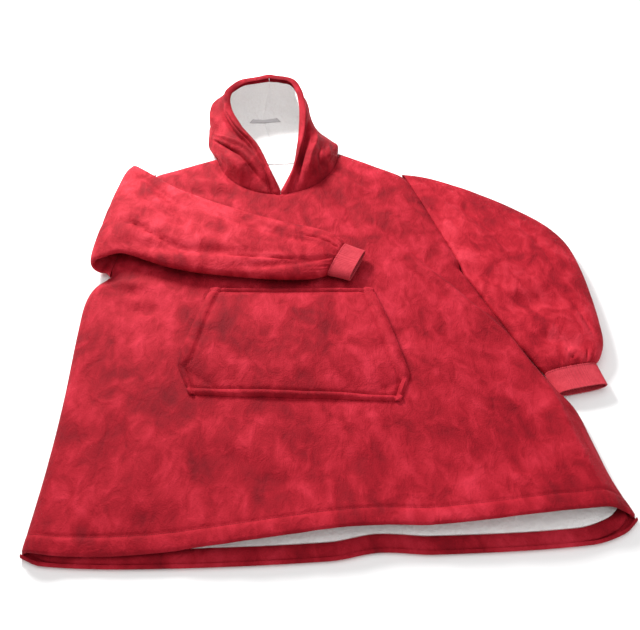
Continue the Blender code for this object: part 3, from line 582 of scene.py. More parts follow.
@lru_cache(maxsize=None)
def front_detail(x, y):
    """Height of the small creases, lumps, hem and seams of the front over its even form."""
    detail = FOLD_GAIN * fold_height(SMALL_FOLDS, x, y) + lump_height(FRONT_LUMPS, x, y)
    from_hem = y - along_table(FRONT_HEM, "x", "y", x)
    detail += hem_shape(from_hem)
    if HEM_OPEN_LEFT < x < HEM_OPEN_RIGHT:
        swell = math.sin(math.pi * (x - HEM_OPEN_LEFT) / (HEM_OPEN_RIGHT - HEM_OPEN_LEFT))
        detail += HEM_OPEN_LIFT * swell ** 0.5 * bump(from_hem, HEM_OPEN_REACH)
    detail += lump_height(HEM_LUMPS, x) * bump(from_hem - HEM_BAND, HEM_PUCKER_REACH)
    if y > LEFT_UNDERARM.y:
        detail -= SEAM_DIP * bump(x - left_x(y), SEAM_HALF)
    if y > RIGHT_UNDERARM.y:
        detail -= SEAM_DIP * bump(right_x(y) - x, SEAM_HALF)
    neck_far = math.hypot((NECK_Y - y) / NECK_FRONT_DROP, (x - NECK_X) / NECK_HALF_WIDTH) - 1
    return detail - NECK_DIP * bump(neck_far * NECK_HALF_WIDTH, SEAM_HALF)


@lru_cache(maxsize=None)
def front_share(x, y):
    """Even height of the front over its side seams, and the share of it left by the rolls."""
    share_left = open_share(y, LEFT_UNDERARM)
    share_right = open_share(y, RIGHT_UNDERARM)
    share = share_left + (1 - share_left) * roll((x - left_x(y)) / SIDE_ROLL)
    share *= share_right + (1 - share_right) * roll((right_x(y) - x) / SIDE_ROLL)
    share *= roll((shoulder_y(x) - y) / SHOULDER_ROLL)
    return FRONT_HEIGHT + front_rise(x, y) - SEAM_HEIGHT, share


def front_point(x, y, depth):
    """Point of the front at a depth under its outer face, for a place in plan."""
    from_left = (x - left_x(y)) / SIDE_ROLL
    from_right = (right_x(y) - x) / SIDE_ROLL
    from_shoulder = (shoulder_y(x) - y) / SHOULDER_ROLL
    height, share = front_share(x, y)
    moved_x = x + depth * (max(1 - from_left, 0.0) - max(1 - from_right, 0.0))
    moved_y = y - depth * max(1 - from_shoulder, 0.0)
    raised = (height - depth + front_detail(x, y)) * share
    return Vector((moved_x, moved_y, SEAM_HEIGHT + raised))


def turned(grid):
    """The grid with rows and columns swapped."""
    return [list(line) for line in zip(*grid)]


def with_nose(outer, inner, radius, wall):
    """Both layers with their first edge turned round a half circle, towards the inner layer."""
    added_outer = []
    added_inner = []
    small = max(radius - wall, LEAST_RADIUS)
    for step in range(NOSE_STEPS, 0, -1):
        angle = math.pi * step / NOSE_STEPS
        line_outer = []
        line_inner = []
        for edge, next_in, below in zip(outer[0], outer[1], inner[0]):
            out = (edge - next_in).normalized()
            down = (below - edge).normalized()
            centre = edge + down * radius
            aim = out * math.sin(angle) - down * math.cos(angle)
            line_outer.append(centre + aim * radius)
            line_inner.append(centre + aim * small)
        added_outer.append(line_outer)
        added_inner.append(line_inner)
    return added_outer + outer, added_inner + inner


def shell(name, outer, inner, material, ring=False):
    """Closed thin wall between two grids of points, as an object at the origin."""
    rows = len(outer)
    columns = len(outer[0])
    shift = Vector((-CENTRE_X, -CENTRE_Y, 0))
    points = [point + shift for grid in (outer, inner) for line in grid for point in line]
    half = rows * columns

    def at(row, column, layer):
        return layer * half + row * columns + column % columns

    faces = []
    spans = columns if ring else columns - 1
    for row in range(rows - 1):
        for column in range(spans):
            for layer in (0, 1):
                faces.append((at(row, column, layer), at(row, column + 1, layer),
                              at(row + 1, column + 1, layer), at(row + 1, column, layer)))
    for row in (0, rows - 1):
        for column in range(spans):
            faces.append((at(row, column, 0), at(row, column + 1, 0),
                          at(row, column + 1, 1), at(row, column, 1)))
    if not ring:
        for column in (0, columns - 1):
            for row in range(rows - 1):
                faces.append((at(row, column, 0), at(row + 1, column, 0),
                              at(row + 1, column, 1), at(row, column, 1)))
    mesh = bpy.data.meshes.new(name)
    mesh.from_pydata([tuple(point) for point in points], [], faces)
    work = bmesh.new()
    work.from_mesh(mesh)
    bmesh.ops.recalc_face_normals(work, faces=work.faces)
    work.to_mesh(mesh)
    work.free()
    mesh.materials.append(material)
    mesh.shade_smooth()
    mesh.set_sharp_from_angle(angle=math.radians(SHARP_ANGLE))
    item = bpy.data.objects.new(name, mesh)
    bpy.context.scene.collection.objects.link(item)
    return item


def declare(item, nodes, with_pieces=()):
    """Hang a cloth piece and its extra pieces on the root, and hide its solids."""
    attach(item, "root")
    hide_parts(*nodes)
    for piece in with_pieces:
        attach(piece, "root")


# Materials

# Sizes of what the materials draw, metres
PATCH_SIZE = 0.085
STROKE_SIZE = 0.024
NAP_SIZE = 0.0022
CURL_SIZE = 0.0055
FLUFF_SIZE = 0.003
YARN_SIZE = 0.0016
YARN_SHADE_SIZE = 0.020
WEAVE_SIZE = 0.0005
CLOTH_SPECULAR = 0.12

# Names of the body's fleece and of its lighter copy with painted highlight for the sleeves, and the
# places of their shades, from dark to light
NAP_SHADES = ("dark", "deep", "middle", "light")
NAP_PLACES = {
    "fleece": ("crushed_flannel_fleece", (0.27, 0.41, 0.53, 0.68)),
    "sleeve": ("crushed_flannel_fleece_brushed", (0.26, 0.40, 0.51, 0.66)),
}


def linear(colour):
    """Linear red, green and blue of an sRGB colour written as six hex digits."""
    parts = []
    for index in (0, 2, 4):
        value = int(colour[index:index + 2], 16) / 255
        parts.append(value / 12.92 if value <= 0.04045 else ((value + 0.055) / 1.055) ** 2.4)
    return (*parts, 1.0)


def set_inputs(tree, node, inputs):
    """Link sockets to a node's inputs, or set them to values."""
    for name, value in inputs.items():
        socket = node.inputs[name]
        if isinstance(value, bpy.types.NodeSocket):
            tree.links.new(value, socket)
        else:
            socket.default_value = value


def add_node(tree, kind, settings=None, inputs=None):
    """A node of a kind, with its settings, and its inputs set to values or linked."""
    made = tree.nodes.new(kind)
    for name, value in (settings or {}).items():
        setattr(made, name, value)
    set_inputs(tree, made, inputs or {})
    return made


def maths(tree, operation, *values):
    """Value of a sum worked out by a node, from values or sockets."""
    made = add_node(tree, "ShaderNodeMath", {"operation": operation})
    set_inputs(tree, made, dict(enumerate(values)))
    return made.outputs["Value"]


def cloth_material(name, roughness, sheen, sheen_roughness, sheen_colour):
    """Principled cloth material and its tree, shader and place sockets."""
    made = bpy.data.materials.new(name)
    made.use_nodes = True
    tree = made.node_tree
    shader = tree.nodes["Principled BSDF"]
    shader.inputs["Roughness"].default_value = roughness
    shader.inputs["Specular IOR Level"].default_value = CLOTH_SPECULAR
    shader.inputs["Sheen Weight"].default_value = sheen
    shader.inputs["Sheen Roughness"].default_value = sheen_roughness
    shader.inputs["Sheen Tint"].default_value = linear(sheen_colour)
    place = add_node(tree, "ShaderNodeTexCoord").outputs["Object"]
    return made, tree, shader, place


def lumps(tree, place, size, detail, distortion=0.0, stretch=(1.0, 1.0, 1.0)):
    """Noise with lumps of a real size in metres, longer along an axis with a small stretch."""
    mapped = add_node(tree, "ShaderNodeMapping", inputs={"Vector": place, "Scale": stretch})
    return add_node(tree, "ShaderNodeTexNoise", inputs={
        "Vector": mapped.outputs["Vector"], "Scale": 1 / size, "Detail": detail,
        "Roughness": 0.6, "Distortion": distortion}).outputs["Fac"]


def blend_values(tree, first, second, share):
    """A mix of two value sockets."""
    return add_node(tree, "ShaderNodeMix", inputs={
        "Factor": share, "A": first, "B": second}).outputs["Result"]


def colour_steps(tree, value, stops):
    """Colour from a value through places and linear colours."""
    ramp = add_node(tree, "ShaderNodeValToRGB", inputs={"Fac": value})
    ramp.color_ramp.interpolation = "B_SPLINE"
    while len(ramp.color_ramp.elements) < len(stops):
        ramp.color_ramp.elements.new(0.5)
    for element, (place, colour) in zip(ramp.color_ramp.elements, stops):
        element.position = place
        element.color = colour
    return ramp.outputs["Color"]


def bump_from(tree, height, distance, strength, normal=None):
    """Bump normal from a height socket."""
    inputs = {"Height": height, "Distance": distance, "Strength": strength}
    if normal:
        inputs["Normal"] = normal
    return add_node(tree, "ShaderNodeBump", inputs=inputs).outputs["Normal"]


def fleece_material(name, stops):
    """Crushed flannel fleece: short nap lying in random patches, coloured darker and lighter as
    painted shade and sheen of the nap.
    """
    made, tree, shader, place = cloth_material(name, 0.78, 0.12, 0.30, "ff6c7c")
    patches = lumps(tree, place, PATCH_SIZE, 2.5, 0.6, (1.0, 0.8, 1.0))
    strokes = lumps(tree, place, STROKE_SIZE, 3.5, 0.5, (1.0, 0.6, 1.0))
    nap = lumps(tree, place, NAP_SIZE, 3.0)
    value = blend_values(tree, patches, strokes, 0.38)
    value = blend_values(tree, value, nap, 0.12)
    normal = bump_from(tree, strokes, 0.009, 0.5)
    normal = bump_from(tree, nap, 0.0018, 0.6, normal)
    # The colour ramp paints the sheen and shade of the nap into the base colour, over patches that
    # fall at random
    set_inputs(tree, shader, {"Base Color": colour_steps(tree, value, stops), "Normal": normal})
    return made


def sherpa_material(name, light, shade):
    """White sherpa pile: small woolly curls, with painted shade between them."""
    made, tree, shader, place = cloth_material(name, 0.95, 0.5, 0.5, "ffffff")
    cells = add_node(tree, "ShaderNodeTexVoronoi", {"feature": "SMOOTH_F1"}, {
        "Vector": place, "Scale": 1 / CURL_SIZE, "Smoothness": 0.6})
    fluff = lumps(tree, place, FLUFF_SIZE, 4.0, 0.6)
    value = blend_values(tree, cells.outputs["Distance"], fluff, 0.5)
    # The ramp paints shade between the curls, darker away from each curl's middle
    set_inputs(tree, shader, {
        "Base Color": colour_steps(tree, value, ((0.2, light), (0.8, shade))),
        "Normal": bump_from(tree, value, 0.003, 0.6)})
    return made


def knit_material(name, light, dark):
    """Smooth rib knit of fine yarn."""
    made, tree, shader, place = cloth_material(name, 0.8, 0.35, 0.4, "ffc0c0")
    yarn = lumps(tree, place, YARN_SIZE, 2.0, 0.0, (1.0, 0.4, 1.0))
    soft = lumps(tree, place, YARN_SHADE_SIZE, 2.0)
    value = blend_values(tree, yarn, soft, 0.5)
    # The fine yarn noise paints light on the yarns' crowns and shade between them; the larger noise
    # is random tone
    set_inputs(tree, shader, {
        "Base Color": colour_steps(tree, value, ((0.3, dark), (0.7, light))),
        "Normal": bump_from(tree, yarn, 0.0006, 0.5)})
    return made


def label_material(name, colour):
    """Bare woven satin."""
    made, tree, shader, place = cloth_material(name, 0.45, 0.2, 0.3, "ffffff")
    weave = lumps(tree, place, WEAVE_SIZE, 2.0, 0.0, (1.0, 0.2, 1.0))
    set_inputs(tree, shader, {"Base Color": colour, "Normal": bump_from(tree, weave, 0.0002, 0.4)})
    return made


def thread_material(name, colour):
    """Polyester sewing thread."""
    made, _, shader, _ = cloth_material(name, 0.55, 0.2, 0.3, "ffb0b0")
    shader.inputs["Base Color"].default_value = colour
    return made


@lru_cache(maxsize=None)
def material(kind):
    """The shared material of a kind, in the colours of the sidebar."""
    look = bpy.context.scene.hoodie_look
    if kind in NAP_PLACES:
        name, places = NAP_PLACES[kind]
        shades = [getattr(look, kind + "_" + shade) for shade in NAP_SHADES]
        return fleece_material(name, tuple(zip(places, shades)))
    if kind == "sherpa":
        return sherpa_material("white_sherpa_pile", look.sherpa_light, look.sherpa_shade)
    if kind == "knit":
        return knit_material("fine_rib_knit", look.knit_light, look.knit_dark)
    if kind == "label":
        return label_material("satin_label", look.label)
    return thread_material("sewing_thread", look.thread)


# Geometry nodes for what repeats along a path or round a tube

def node_group(name, sockets):
    """Empty geometry tree with a geometry in and out and named inputs, and its end nodes."""
    tree = bpy.data.node_groups.new(name, "GeometryNodeTree")
    tree.interface.new_socket("Geometry", in_out="INPUT", socket_type="NodeSocketGeometry")
    for label, kind, value in sockets:
        made = tree.interface.new_socket(label, in_out="INPUT", socket_type=kind)
        if value is not None:
            made.default_value = value
    tree.interface.new_socket("Geometry", in_out="OUTPUT", socket_type="NodeSocketGeometry")
    return tree, add_node(tree, "NodeGroupInput"), add_node(tree, "NodeGroupOutput")


def finish_group(tree, geometry, start, end):
    """End a tree in realized instances with one material."""
    real = add_node(tree, "GeometryNodeRealizeInstances", inputs={"Geometry": geometry})
    painted = add_node(tree, "GeometryNodeSetMaterial", inputs={
        "Geometry": real.outputs["Geometry"], "Material": start.outputs["Material"]})
    tree.links.new(painted.outputs["Geometry"], end.inputs["Geometry"])
    return tree


@lru_cache(maxsize=None)
def stitch_tree():
    """Tree that lays stitches along a path."""
    tree, start, end = node_group("stitches", (
        ("Pitch", "NodeSocketFloat", 0.0035), ("Length", "NodeSocketFloat", 0.0026),
        ("Radius", "NodeSocketFloat", 0.0004), ("Material", "NodeSocketMaterial", None)))
    points = add_node(tree, "GeometryNodeCurveToPoints", {"mode": "LENGTH"}, {
        "Curve": start.outputs["Geometry"], "Length": start.outputs["Pitch"]})
    round_size = start.outputs["Radius"]
    size = add_node(tree, "ShaderNodeCombineXYZ", inputs={
        "X": round_size, "Y": round_size,
        "Z": maths(tree, "MULTIPLY", start.outputs["Length"], 0.5)})
    bead = add_node(tree, "GeometryNodeMeshUVSphere", inputs={
        "Segments": 6, "Rings": 4, "Radius": 1.0})
    placed = add_node(tree, "GeometryNodeInstanceOnPoints", inputs={
        "Points": points.outputs["Points"], "Instance": bead.outputs["Mesh"],
        "Rotation": points.outputs["Rotation"], "Scale": size.outputs["Vector"]})
    return finish_group(tree, placed.outputs["Instances"], start, end)


@lru_cache(maxsize=None)
def rib_tree():
    """Tree that raises ribs round a tube whose vertices keep their way round in an attribute."""
    tree, start, end = node_group("ribs", (
        ("Ribs", "NodeSocketFloat", 80.0), ("Depth", "NodeSocketFloat", CUFF_RIB_DEPTH),
        ("Material", "NodeSocketMaterial", None)))
    place = add_node(tree, "GeometryNodeInputNamedAttribute", {"data_type": "FLOAT"},
                     {"Name": "way_round"}).outputs["Attribute"]
    turn = maths(tree, "MULTIPLY", place, start.outputs["Ribs"])
    wave = maths(tree, "SINE", maths(tree, "MULTIPLY", turn, math.tau))
    height = maths(tree, "MULTIPLY", wave, start.outputs["Depth"])
    normal = add_node(tree, "GeometryNodeInputNormal")
    offset = add_node(tree, "ShaderNodeVectorMath", {"operation": "SCALE"}, {
        "Vector": normal.outputs["Normal"], "Scale": height})
    moved = add_node(tree, "GeometryNodeSetPosition", inputs={
        "Geometry": start.outputs["Geometry"], "Offset": offset.outputs["Vector"]})
    return finish_group(tree, moved.outputs["Geometry"], start, end)


def made_by(item, tree, values):
    """Plain mesh object of what a geometry tree makes of an object, which it replaces."""
    modifier = item.modifiers.new(tree.name, "NODES")
    modifier.node_group = tree
    for socket in tree.interface.items_tree:
        if socket.name in values and socket.in_out == "INPUT":
            modifier[socket.identifier] = values[socket.name]
    graph = bpy.context.evaluated_depsgraph_get()
    mesh = bpy.data.meshes.new_from_object(item.evaluated_get(graph), depsgraph=graph)
    name = item.name
    bpy.data.objects.remove(item)
    mesh.name = name
    made = bpy.data.objects.new(name, mesh)
    bpy.context.scene.collection.objects.link(made)
    return made


def stitches(name, lines, sizes):
    """Rows of stitches along paths of points, as one object."""
    curve = bpy.data.curves.new(name, "CURVE")
    curve.dimensions = "3D"
    for line in lines:
        spline = curve.splines.new("POLY")
        spline.points.add(len(line) - 1)
        for point, place in zip(spline.points, line):
            point.co = (place.x - CENTRE_X, place.y - CENTRE_Y, place.z, 1.0)
    item = bpy.data.objects.new(name, curve)
    bpy.context.scene.collection.objects.link(item)
    return made_by(item, stitch_tree(), {
        "Pitch": sizes.stitch_pitch, "Length": sizes.stitch_length,
        "Radius": sizes.thread_radius, "Material": material("thread")})


# Body

def even_rows(start, step, count):
    """Evenly spaced rows."""
    return tuple(start + index * step for index in range(count))


def build_front(sizes):
    """Front panel with its rolled hem, and its lining and turned hem inside."""
    columns = denser(FRONT_COLUMNS, FRONT_STEP)
    rows = even_rows(HEM_START, HEM_ROW_STEP, HEM_ROW_COUNT)
    rows += denser((HEM_ROWS_END,) + FRONT_ROWS[2:], FRONT_STEP)
    outer = front_layer(columns, rows, 0.0)
    inner = front_layer(columns, rows, SHELL)
    outer, inner = with_nose(outer, inner, HEM_NOSE, SHELL)
    panel = shell("front_panel_cloth", outer, inner, material("fleece"))
    seam = [front_point(x, y, 0.0) + Vector((0, 0, sizes.thread_radius))
            for x, y in (hem_place(share) for share in spread(HEM_STITCH_POINTS))]
    thread = stitches("front_hem_stitches", [seam], sizes)
    declare(panel, ("front_panel",),
            (thread,))

    band = columns_between(columns, FRONT_COLUMNS[INNER_COLUMN],
                           FRONT_COLUMNS[-1 - INNER_COLUMN])
    facing_rows = even_rows(HEM_START, FACING_ROW_STEP, FACING_ROW_COUNT)
    lining_rows = denser((FRONT_LINING_START, FRONT_ROWS[FRONT_LINING_ROW]), FRONT_STEP)
    facing = shell("front_hem_turning", front_layer(band, facing_rows, LINING_TOP),
                   front_layer(band, facing_rows, FACING_BACK), material("fleece"))
    declare(facing, ("front_hem_facing",))
    low = front_layer(band, lining_rows, LINING_BACK)
    curls(low, -1)
    lining = shell("front_lining_cloth", front_layer(band, lining_rows, LINING_TOP), low,
                   material("sherpa"))
    declare(lining, ("front_lining",))


def spread(count):
    """Even shares from just after 0 to just before 1."""
    return [(index + 0.5) / count for index in range(count)]


def hem_place(share):
    """Place in plan on the front's hem seam."""
    inset = 0.2 * SIDE_ROLL
    x = lerp(FRONT_HEM[0].x + inset, FRONT_HEM[-1].x - inset, share)
    return x, along_table(FRONT_HEM, "x", "y", x) + HEM_BAND


def columns_between(columns, low, high):
    """The columns from one to another."""
    return tuple(column for column in columns if low - 1e-9 <= column <= high + 1e-9)


def curls(grid, way):
    """Move a layer of points up or down by the curls of the pile."""
    for line in grid:
        for point in line:
            point.z += way * CURL * (0.4 + lump_height(BODY_PILE, *point))


def build_back():
    """Back panel with its rolled hem, and its lining and turned hem."""
    columns = denser(BACK_COLUMNS, BACK_STEP)
    rows = even_rows(0.0, BACK_HEM_STEP, BACK_HEM_COUNT)
    rows += denser((BACK_HEM_END,) + BACK_ROWS[2:], BACK_STEP)
    outer = back_layer(columns, rows, 0.0)
    inner = back_layer(columns, rows, SHELL)
    outer, inner = with_nose(outer, inner, BACK_NOSE, SHELL)
    panel = shell("back_panel_cloth", outer, inner, material("fleece"))
    declare(panel, ("back_panel",))

    rows = even_rows(0.0, BACK_TURNING / TURNING_STEPS, TURNING_STEPS + 1)
    top = back_layer(columns, rows, FACING_BACK, BACK_LINING_INSET)
    low = back_layer(columns, rows, LINING_TOP, BACK_LINING_INSET)
    for index, line in enumerate(top):
        for point in line:
            point.z += back_turning(rows[index], point.x)
    facing = shell("back_hem_turning", top, low, material("fleece"))
    declare(facing, ("back_hem_facing",))

    across = denser(BACK_COLUMNS, PILE_STEP)
    near = denser((BACK_TURNING + 0.0005, PILE_FINE_END), PILE_FINE_STEP)
    rows = near[:-1] + denser((PILE_FINE_END,) + BACK_ROWS[2:-1] + (NECK_LINING_END,), PILE_ROW_STEP)
    top = back_layer(across, rows, LINING_BACK, BACK_LINING_INSET)
    low = back_layer(across, rows, LINING_TOP, BACK_LINING_INSET)
    curls(top, 1)
    lining = shell("back_lining_cloth", top, low, material("sherpa"))
    declare(lining, ("back_lining",))


def back_turning(up, x):
    """Height of the puffed, uneven hem turning of the back."""
    wave = 1 + lump_height(TURNING_LUMPS, x)
    return TURNING_PUFF * math.sin(math.pi * min(up / BACK_TURNING, 1.0)) ** 0.6 * wave


# Sleeves

FOLDED_FINE_CREASES = FOLDED_CREASES + table(Crease,
    (0.42, 0.08, 0.56, 0.24, 0.020, 0.0030), (0.44, 0.30, 0.58, 0.52, 0.020, 0.0034),
    (0.43, 0.66, 0.62, 0.80, 0.022, 0.0036), (0.50, 0.44, 0.70, 0.60, 0.018, 0.0026),
    (0.60, 0.20, 0.78, 0.34, 0.018, 0.0024), (0.66, 0.78, 0.86, 0.70, 0.018, 0.0028),
    (0.78, 0.22, 0.97, 0.32, 0.016, 0.0024), (0.80, 0.54, 0.98, 0.50, 0.014, 0.0026),
    (0.05, 0.30, 0.32, 0.45, 0.030, 0.0030), (0.08, 0.75, 0.34, 0.62, 0.030, 0.0028))
LAID_FINE_CREASES = LAID_CREASES + table(Crease,
    (0.03, 0.40, 0.26, 0.62, 0.020, 0.0034), (0.06, 0.10, 0.24, 0.30, 0.020, 0.0026),
    (0.22, 0.66, 0.46, 0.50, 0.018, 0.0032), (0.34, 0.18, 0.52, 0.30, 0.020, 0.0028),
    (0.44, 0.84, 0.60, 0.66, 0.018, 0.0032), (0.56, 0.74, 0.74, 0.48, 0.018, 0.0034),
    (0.62, 0.30, 0.80, 0.16, 0.016, 0.0026), (0.78, 0.60, 0.95, 0.44, 0.016, 0.0030),
    (0.84, 0.26, 0.98, 0.30, 0.014, 0.0024))


def crease_depth(creases, along, across):
    """Depth of the creases of a sleeve at a place on its upper side."""
    depth = 0.0
    for crease in creases:
        ends = ((crease.along0, crease.across0), (crease.along1, crease.across1))
        distance, share = path_distance(along, across, ends)
        depth += crease.depth * end_fade(share, 3, 0.3) * bump(distance, crease.half_width)
    return depth


def ring_between(rings, along):
    """Ring at a share of a sleeve's length."""
    return Ring(*(through([getattr(ring, field) for ring in rings], along)
                  for field in Ring._fields))


def ring_points(ring, wall, creases, along, sides, seamed):
    """Points round one flattened ring of a sleeve, drawn in by the wall."""
    high = Vector((ring.high_x, ring.high_y, 0))
    low = Vector((ring.low_x, ring.low_y, 0))
    middle = (high + low) / 2 + Vector((0, 0, ring.middle))
    across = (high - low) / 2
    reach = across.length - wall
    across.normalize()
    outward = Vector((across.y, -across.x, 0))
    tilt = math.radians(ring.tilt)
    thick = outward * math.sin(tilt) + Vector((0, 0, math.cos(tilt)))
    half = ring.half - wall
    if seamed:
        ends = bump(along, SLEEVE_SEAM_HALF) + bump(1 - along, SLEEVE_SEAM_HALF)
        half -= 0.5 * SEAM_DIP * ends
    gather = GATHER_DEPTH * max(0.0, 1 - (1 - along) / GATHER_REACH) ** 1.5 if seamed else 0.0
    points = []
    for step in range(sides):
        angle = math.tau * step / sides
        flat, rise = (math.copysign(abs(part) ** (2 / SLEEVE_SQUARE), part)
                      for part in (math.cos(angle), math.sin(angle)))
        point = middle + across * reach * flat + thick * half * rise
        on_top = thick.z * rise
        if on_top > 0:
            point.z -= CREASE_GAIN * on_top * crease_depth(creases, along, (1 - flat) / 2)
            if seamed:
                point.z += on_top * sleeve_detail(point, angle, gather)
        point.z = max(point.z, wall)
        points.append(point)
    return points


def sleeve_detail(point, angle, gather):
    """Height of the lumps and cuff gathers of a sleeve."""
    wander = lump_height(GATHER_WANDER, point.x, point.y)
    waves = math.sin(GATHER_COUNT * angle + 3 * wander)
    return lump_height(SLEEVE_LUMPS, point.x, point.y) + gather * waves


def sleeve_layer(rings, wall, creases=(), sides=SLEEVE_ROUND, finer=SLEEVE_FINER, seamed=True):
    """Grid of rings of a sleeve at one depth."""
    count = (len(rings) - 1) * finer
    shares = [index / count for index in range(count + 1)]
    return [ring_points(ring_between(rings, share), wall, creases, share, sides, seamed)
            for share in shares]


def build_sleeve(name, node, rings, creases):
    """One sleeve."""
    # The sleeve material is the body's fleece painted lighter, as painted highlight of the sleeves
    # lying in the light
    item = shell(name, sleeve_layer(rings, 0.0, creases), sleeve_layer(rings, SHELL, creases),
                 material("sleeve"), ring=True)
    declare(item, (node,))


def sleeve_rings():
    """Rings of both sleeves."""
    folded = folded_start() + list(FOLDED_RINGS)
    laid = [armhole_ring(RIGHT_UNDERARM, RIGHT_SHOULDER, 1, LAID_START_HALF)]
    laid += [ring._replace(low_x=ring.low_x - SLEEVE_LEAN) for ring in LAID_RINGS]
    return folded, laid


def build_cuff(name, node, last, sizes):
    """One knit cuff with ribs along it, and the stitches of its seam."""
    rings = cuff_rings(last)
    girth = 2 * math.dist((last.high_x, last.high_y), (last.low_x, last.low_y)) + 2 * last.half
    ribs = round(girth / sizes.rib_pitch)
    sides = SIDES_PER_RIB * ribs
    layers = [sleeve_layer(rings, wall, (), sides, 9, False) for wall in (0.0, CUFF_WALL)]
    item = shell(name, layers[0], layers[1], material("knit"), ring=True)
    around = item.data.attributes.new("way_round", "FLOAT", "POINT")
    for index, entry in enumerate(around.data):
        entry.value = (index % sides) / sides
    item = made_by(item, rib_tree(), {
        "Ribs": float(ribs), "Depth": sizes.rib_depth, "Material": material("knit")})
    item.data.shade_smooth()
    seam = ring_between(rings, CUFF_SEAM_AT)
    line = ring_points(seam, -sizes.thread_radius, (), CUFF_SEAM_AT, CUFF_STITCH_POINTS,
                       False)
    thread = stitches(name + "_stitches", [line + line[:1]], sizes)
    declare(item, (node,),
            (thread,))


def armhole_ring(underarm, shoulder, outward, half):
    """First ring of a sleeve, just outside its armhole."""
    line = Vector((shoulder.x - underarm.x, shoulder.y - underarm.y, 0)).normalized()
    step = Vector((line.y, -line.x, 0)) * GAP * outward
    return Ring(shoulder.x + step.x, shoulder.y + step.y, underarm.x + step.x,
                underarm.y + step.y, half, half, 0)


def folded_start():
    """Rings of the folded sleeve from its armhole round the fold to the chest side."""
    rings = [armhole_ring(LEFT_UNDERARM, LEFT_SHOULDER, -1, FOLDED_START_HALF)]
    for step in range(FOLD_STEPS):
        tilt = 180 * step / (FOLD_STEPS - 1)
        swing = FOLD_RADIUS * math.sin(math.radians(tilt))
        lift = FOLD_RADIUS * (1 - math.cos(math.radians(tilt)))
        rings.append(Ring(FOLD_HIGH.x - swing, FOLD_HIGH.y, FOLD_LOW.x - swing, FOLD_LOW.y,
                          FOLD_HALF + lift, FOLD_HALF, tilt))
    return rings


def cuff_rings(last):
    """Rings of a cuff that carries on from the last ring of its sleeve."""
    high = Vector((last.high_x, last.high_y))
    low = Vector((last.low_x, last.low_y))
    middle = (high + low) / 2
    across = (high - low) / 2
    forward = Vector((across.y, -across.x)).normalized()
    if forward.y > 0:
        forward = -forward
    rings = []
    for share in (0.0, 0.5, 1.0):
        centre = middle + forward * (GAP + CUFF_LENGTH * share)
        reach = across * lerp(1.0, CUFF_TAPER, share)
        half = lerp(last.half, CUFF_HALF, min(2 * share, 1.0))
        rings.append(Ring(centre.x + reach.x, centre.y + reach.y, centre.x - reach.x,
                          centre.y - reach.y, last.middle, half, last.tilt))
    return rings


def neck_line(angle, drop, columns):
    """Point on the straight runs between a panel's own points along its neck line."""
    place = NECK_END_COLUMN - angle / math.pi * (NECK_END_COLUMN - NECK_START_COLUMN)
    low = max(column for column in columns if column <= place + 1e-9)
    high = min(column for column in columns if column >= place - 1e-9)
    x0, y0 = top_edge(low, drop)
    x1, y1 = top_edge(high, drop)
    share = 0.0 if high == low else (place - low) / (high - low)
    return lerp(x0, x1, share), lerp(y0, y1, share)


def neck_section(side, share):
    """Point of the hood's lowest line: down the front neck line, then along the back one."""
    if share < NECK_CORNER:
        angle = math.pi / 2 * (1 - side * share / NECK_CORNER)
        x, y = neck_line(angle, NECK_FRONT_DROP, FRONT_COLUMNS)
        height = front_point(x, y, 0.0).z + HOOD_STEP_UP
    else:
        angle = math.pi / 2 * (1 - side * (1 - share) / (1 - NECK_CORNER))
        x, y = neck_line(angle, NECK_BACK_DROP, BACK_COLUMNS)
        y += 2 * GAP
        height = SEAM_HEIGHT + HOOD_STEP_UP if share == NECK_CORNER else 0.0
    x = lerp(x, NECK_X, HOOD_SHRINK)
    y = lerp(y, NECK_Y, HOOD_SHRINK)
    return Vector((x, y, height))


def hood_sections(side):
    """Sections of one half of the hood from the first above the neck to the crown."""
    halves = HOOD_LEFT if side < 0 else HOOD_RIGHT
    rows = [(*section, (*keel, 0.0)) for section, keel in zip(halves, HOOD_KEEL)]
    return [[Vector(point) for point in row] for row in rows + [CROWN]]


def hood_point(side, sections, along, across):
    """Point of the hood's outer face."""
    lines = [through(section, across) for section in sections]
    point = through([neck_section(side, across)] + lines, along)
    point.x += side * GAP
    point.z = max(point.z, 0.0)
    return point


# Hood

# Folds of the hood's halves, their points as (along, across), both from 0 to 1
HOOD_LEFT_FOLDS = table(Fold,
    (((0.00, 0.05), (0.10, 0.165), (0.21, 0.245), (0.25, 0.35), (0.33, 0.42)), 0.024, -0.013),
    (((0.04, 0.05), (0.12, 0.085), (0.19, 0.115), (0.26, 0.145), (0.31, 0.23), (0.40, 0.32)),
     0.026, 0.008),
    (((0.12, 0.060), (0.25, 0.085), (0.38, 0.095), (0.50, 0.090), (0.66, 0.080)), 0.020, -0.009),
    (((0.02, 0.22), (0.10, 0.33), (0.18, 0.45)), 0.050, 0.006),
    (((0.46, 0.20), (0.60, 0.24), (0.76, 0.22)), 0.045, 0.005),
    (((0.44, 0.34), (0.58, 0.38), (0.72, 0.36)), 0.035, -0.004),
    (((0.45, 0.62), (0.65, 0.66), (0.85, 0.72)), 0.050, -0.002))
HOOD_RIGHT_FOLDS = table(Fold,
    (((0.00, 0.075), (0.10, 0.080), (0.24, 0.085), (0.34, 0.105), (0.46, 0.130)), 0.028, -0.014),
    (((0.02, 0.17), (0.15, 0.21), (0.30, 0.23), (0.42, 0.26)), 0.035, 0.006),
    (((0.02, 0.33), (0.14, 0.335), (0.26, 0.315)), 0.022, -0.005),
    (((0.05, 0.42), (0.16, 0.45), (0.28, 0.44)), 0.030, 0.004),
    (((0.52, 0.10), (0.66, 0.12), (0.80, 0.10)), 0.026, -0.006),
    (((0.56, 0.24), (0.68, 0.28), (0.82, 0.26)), 0.040, 0.004),
    (((0.48, 0.66), (0.66, 0.70), (0.84, 0.74)), 0.050, -0.002))
HOOD_ACROSS_STEP = 0.0105
HOOD_ALONG_STEPS = 96


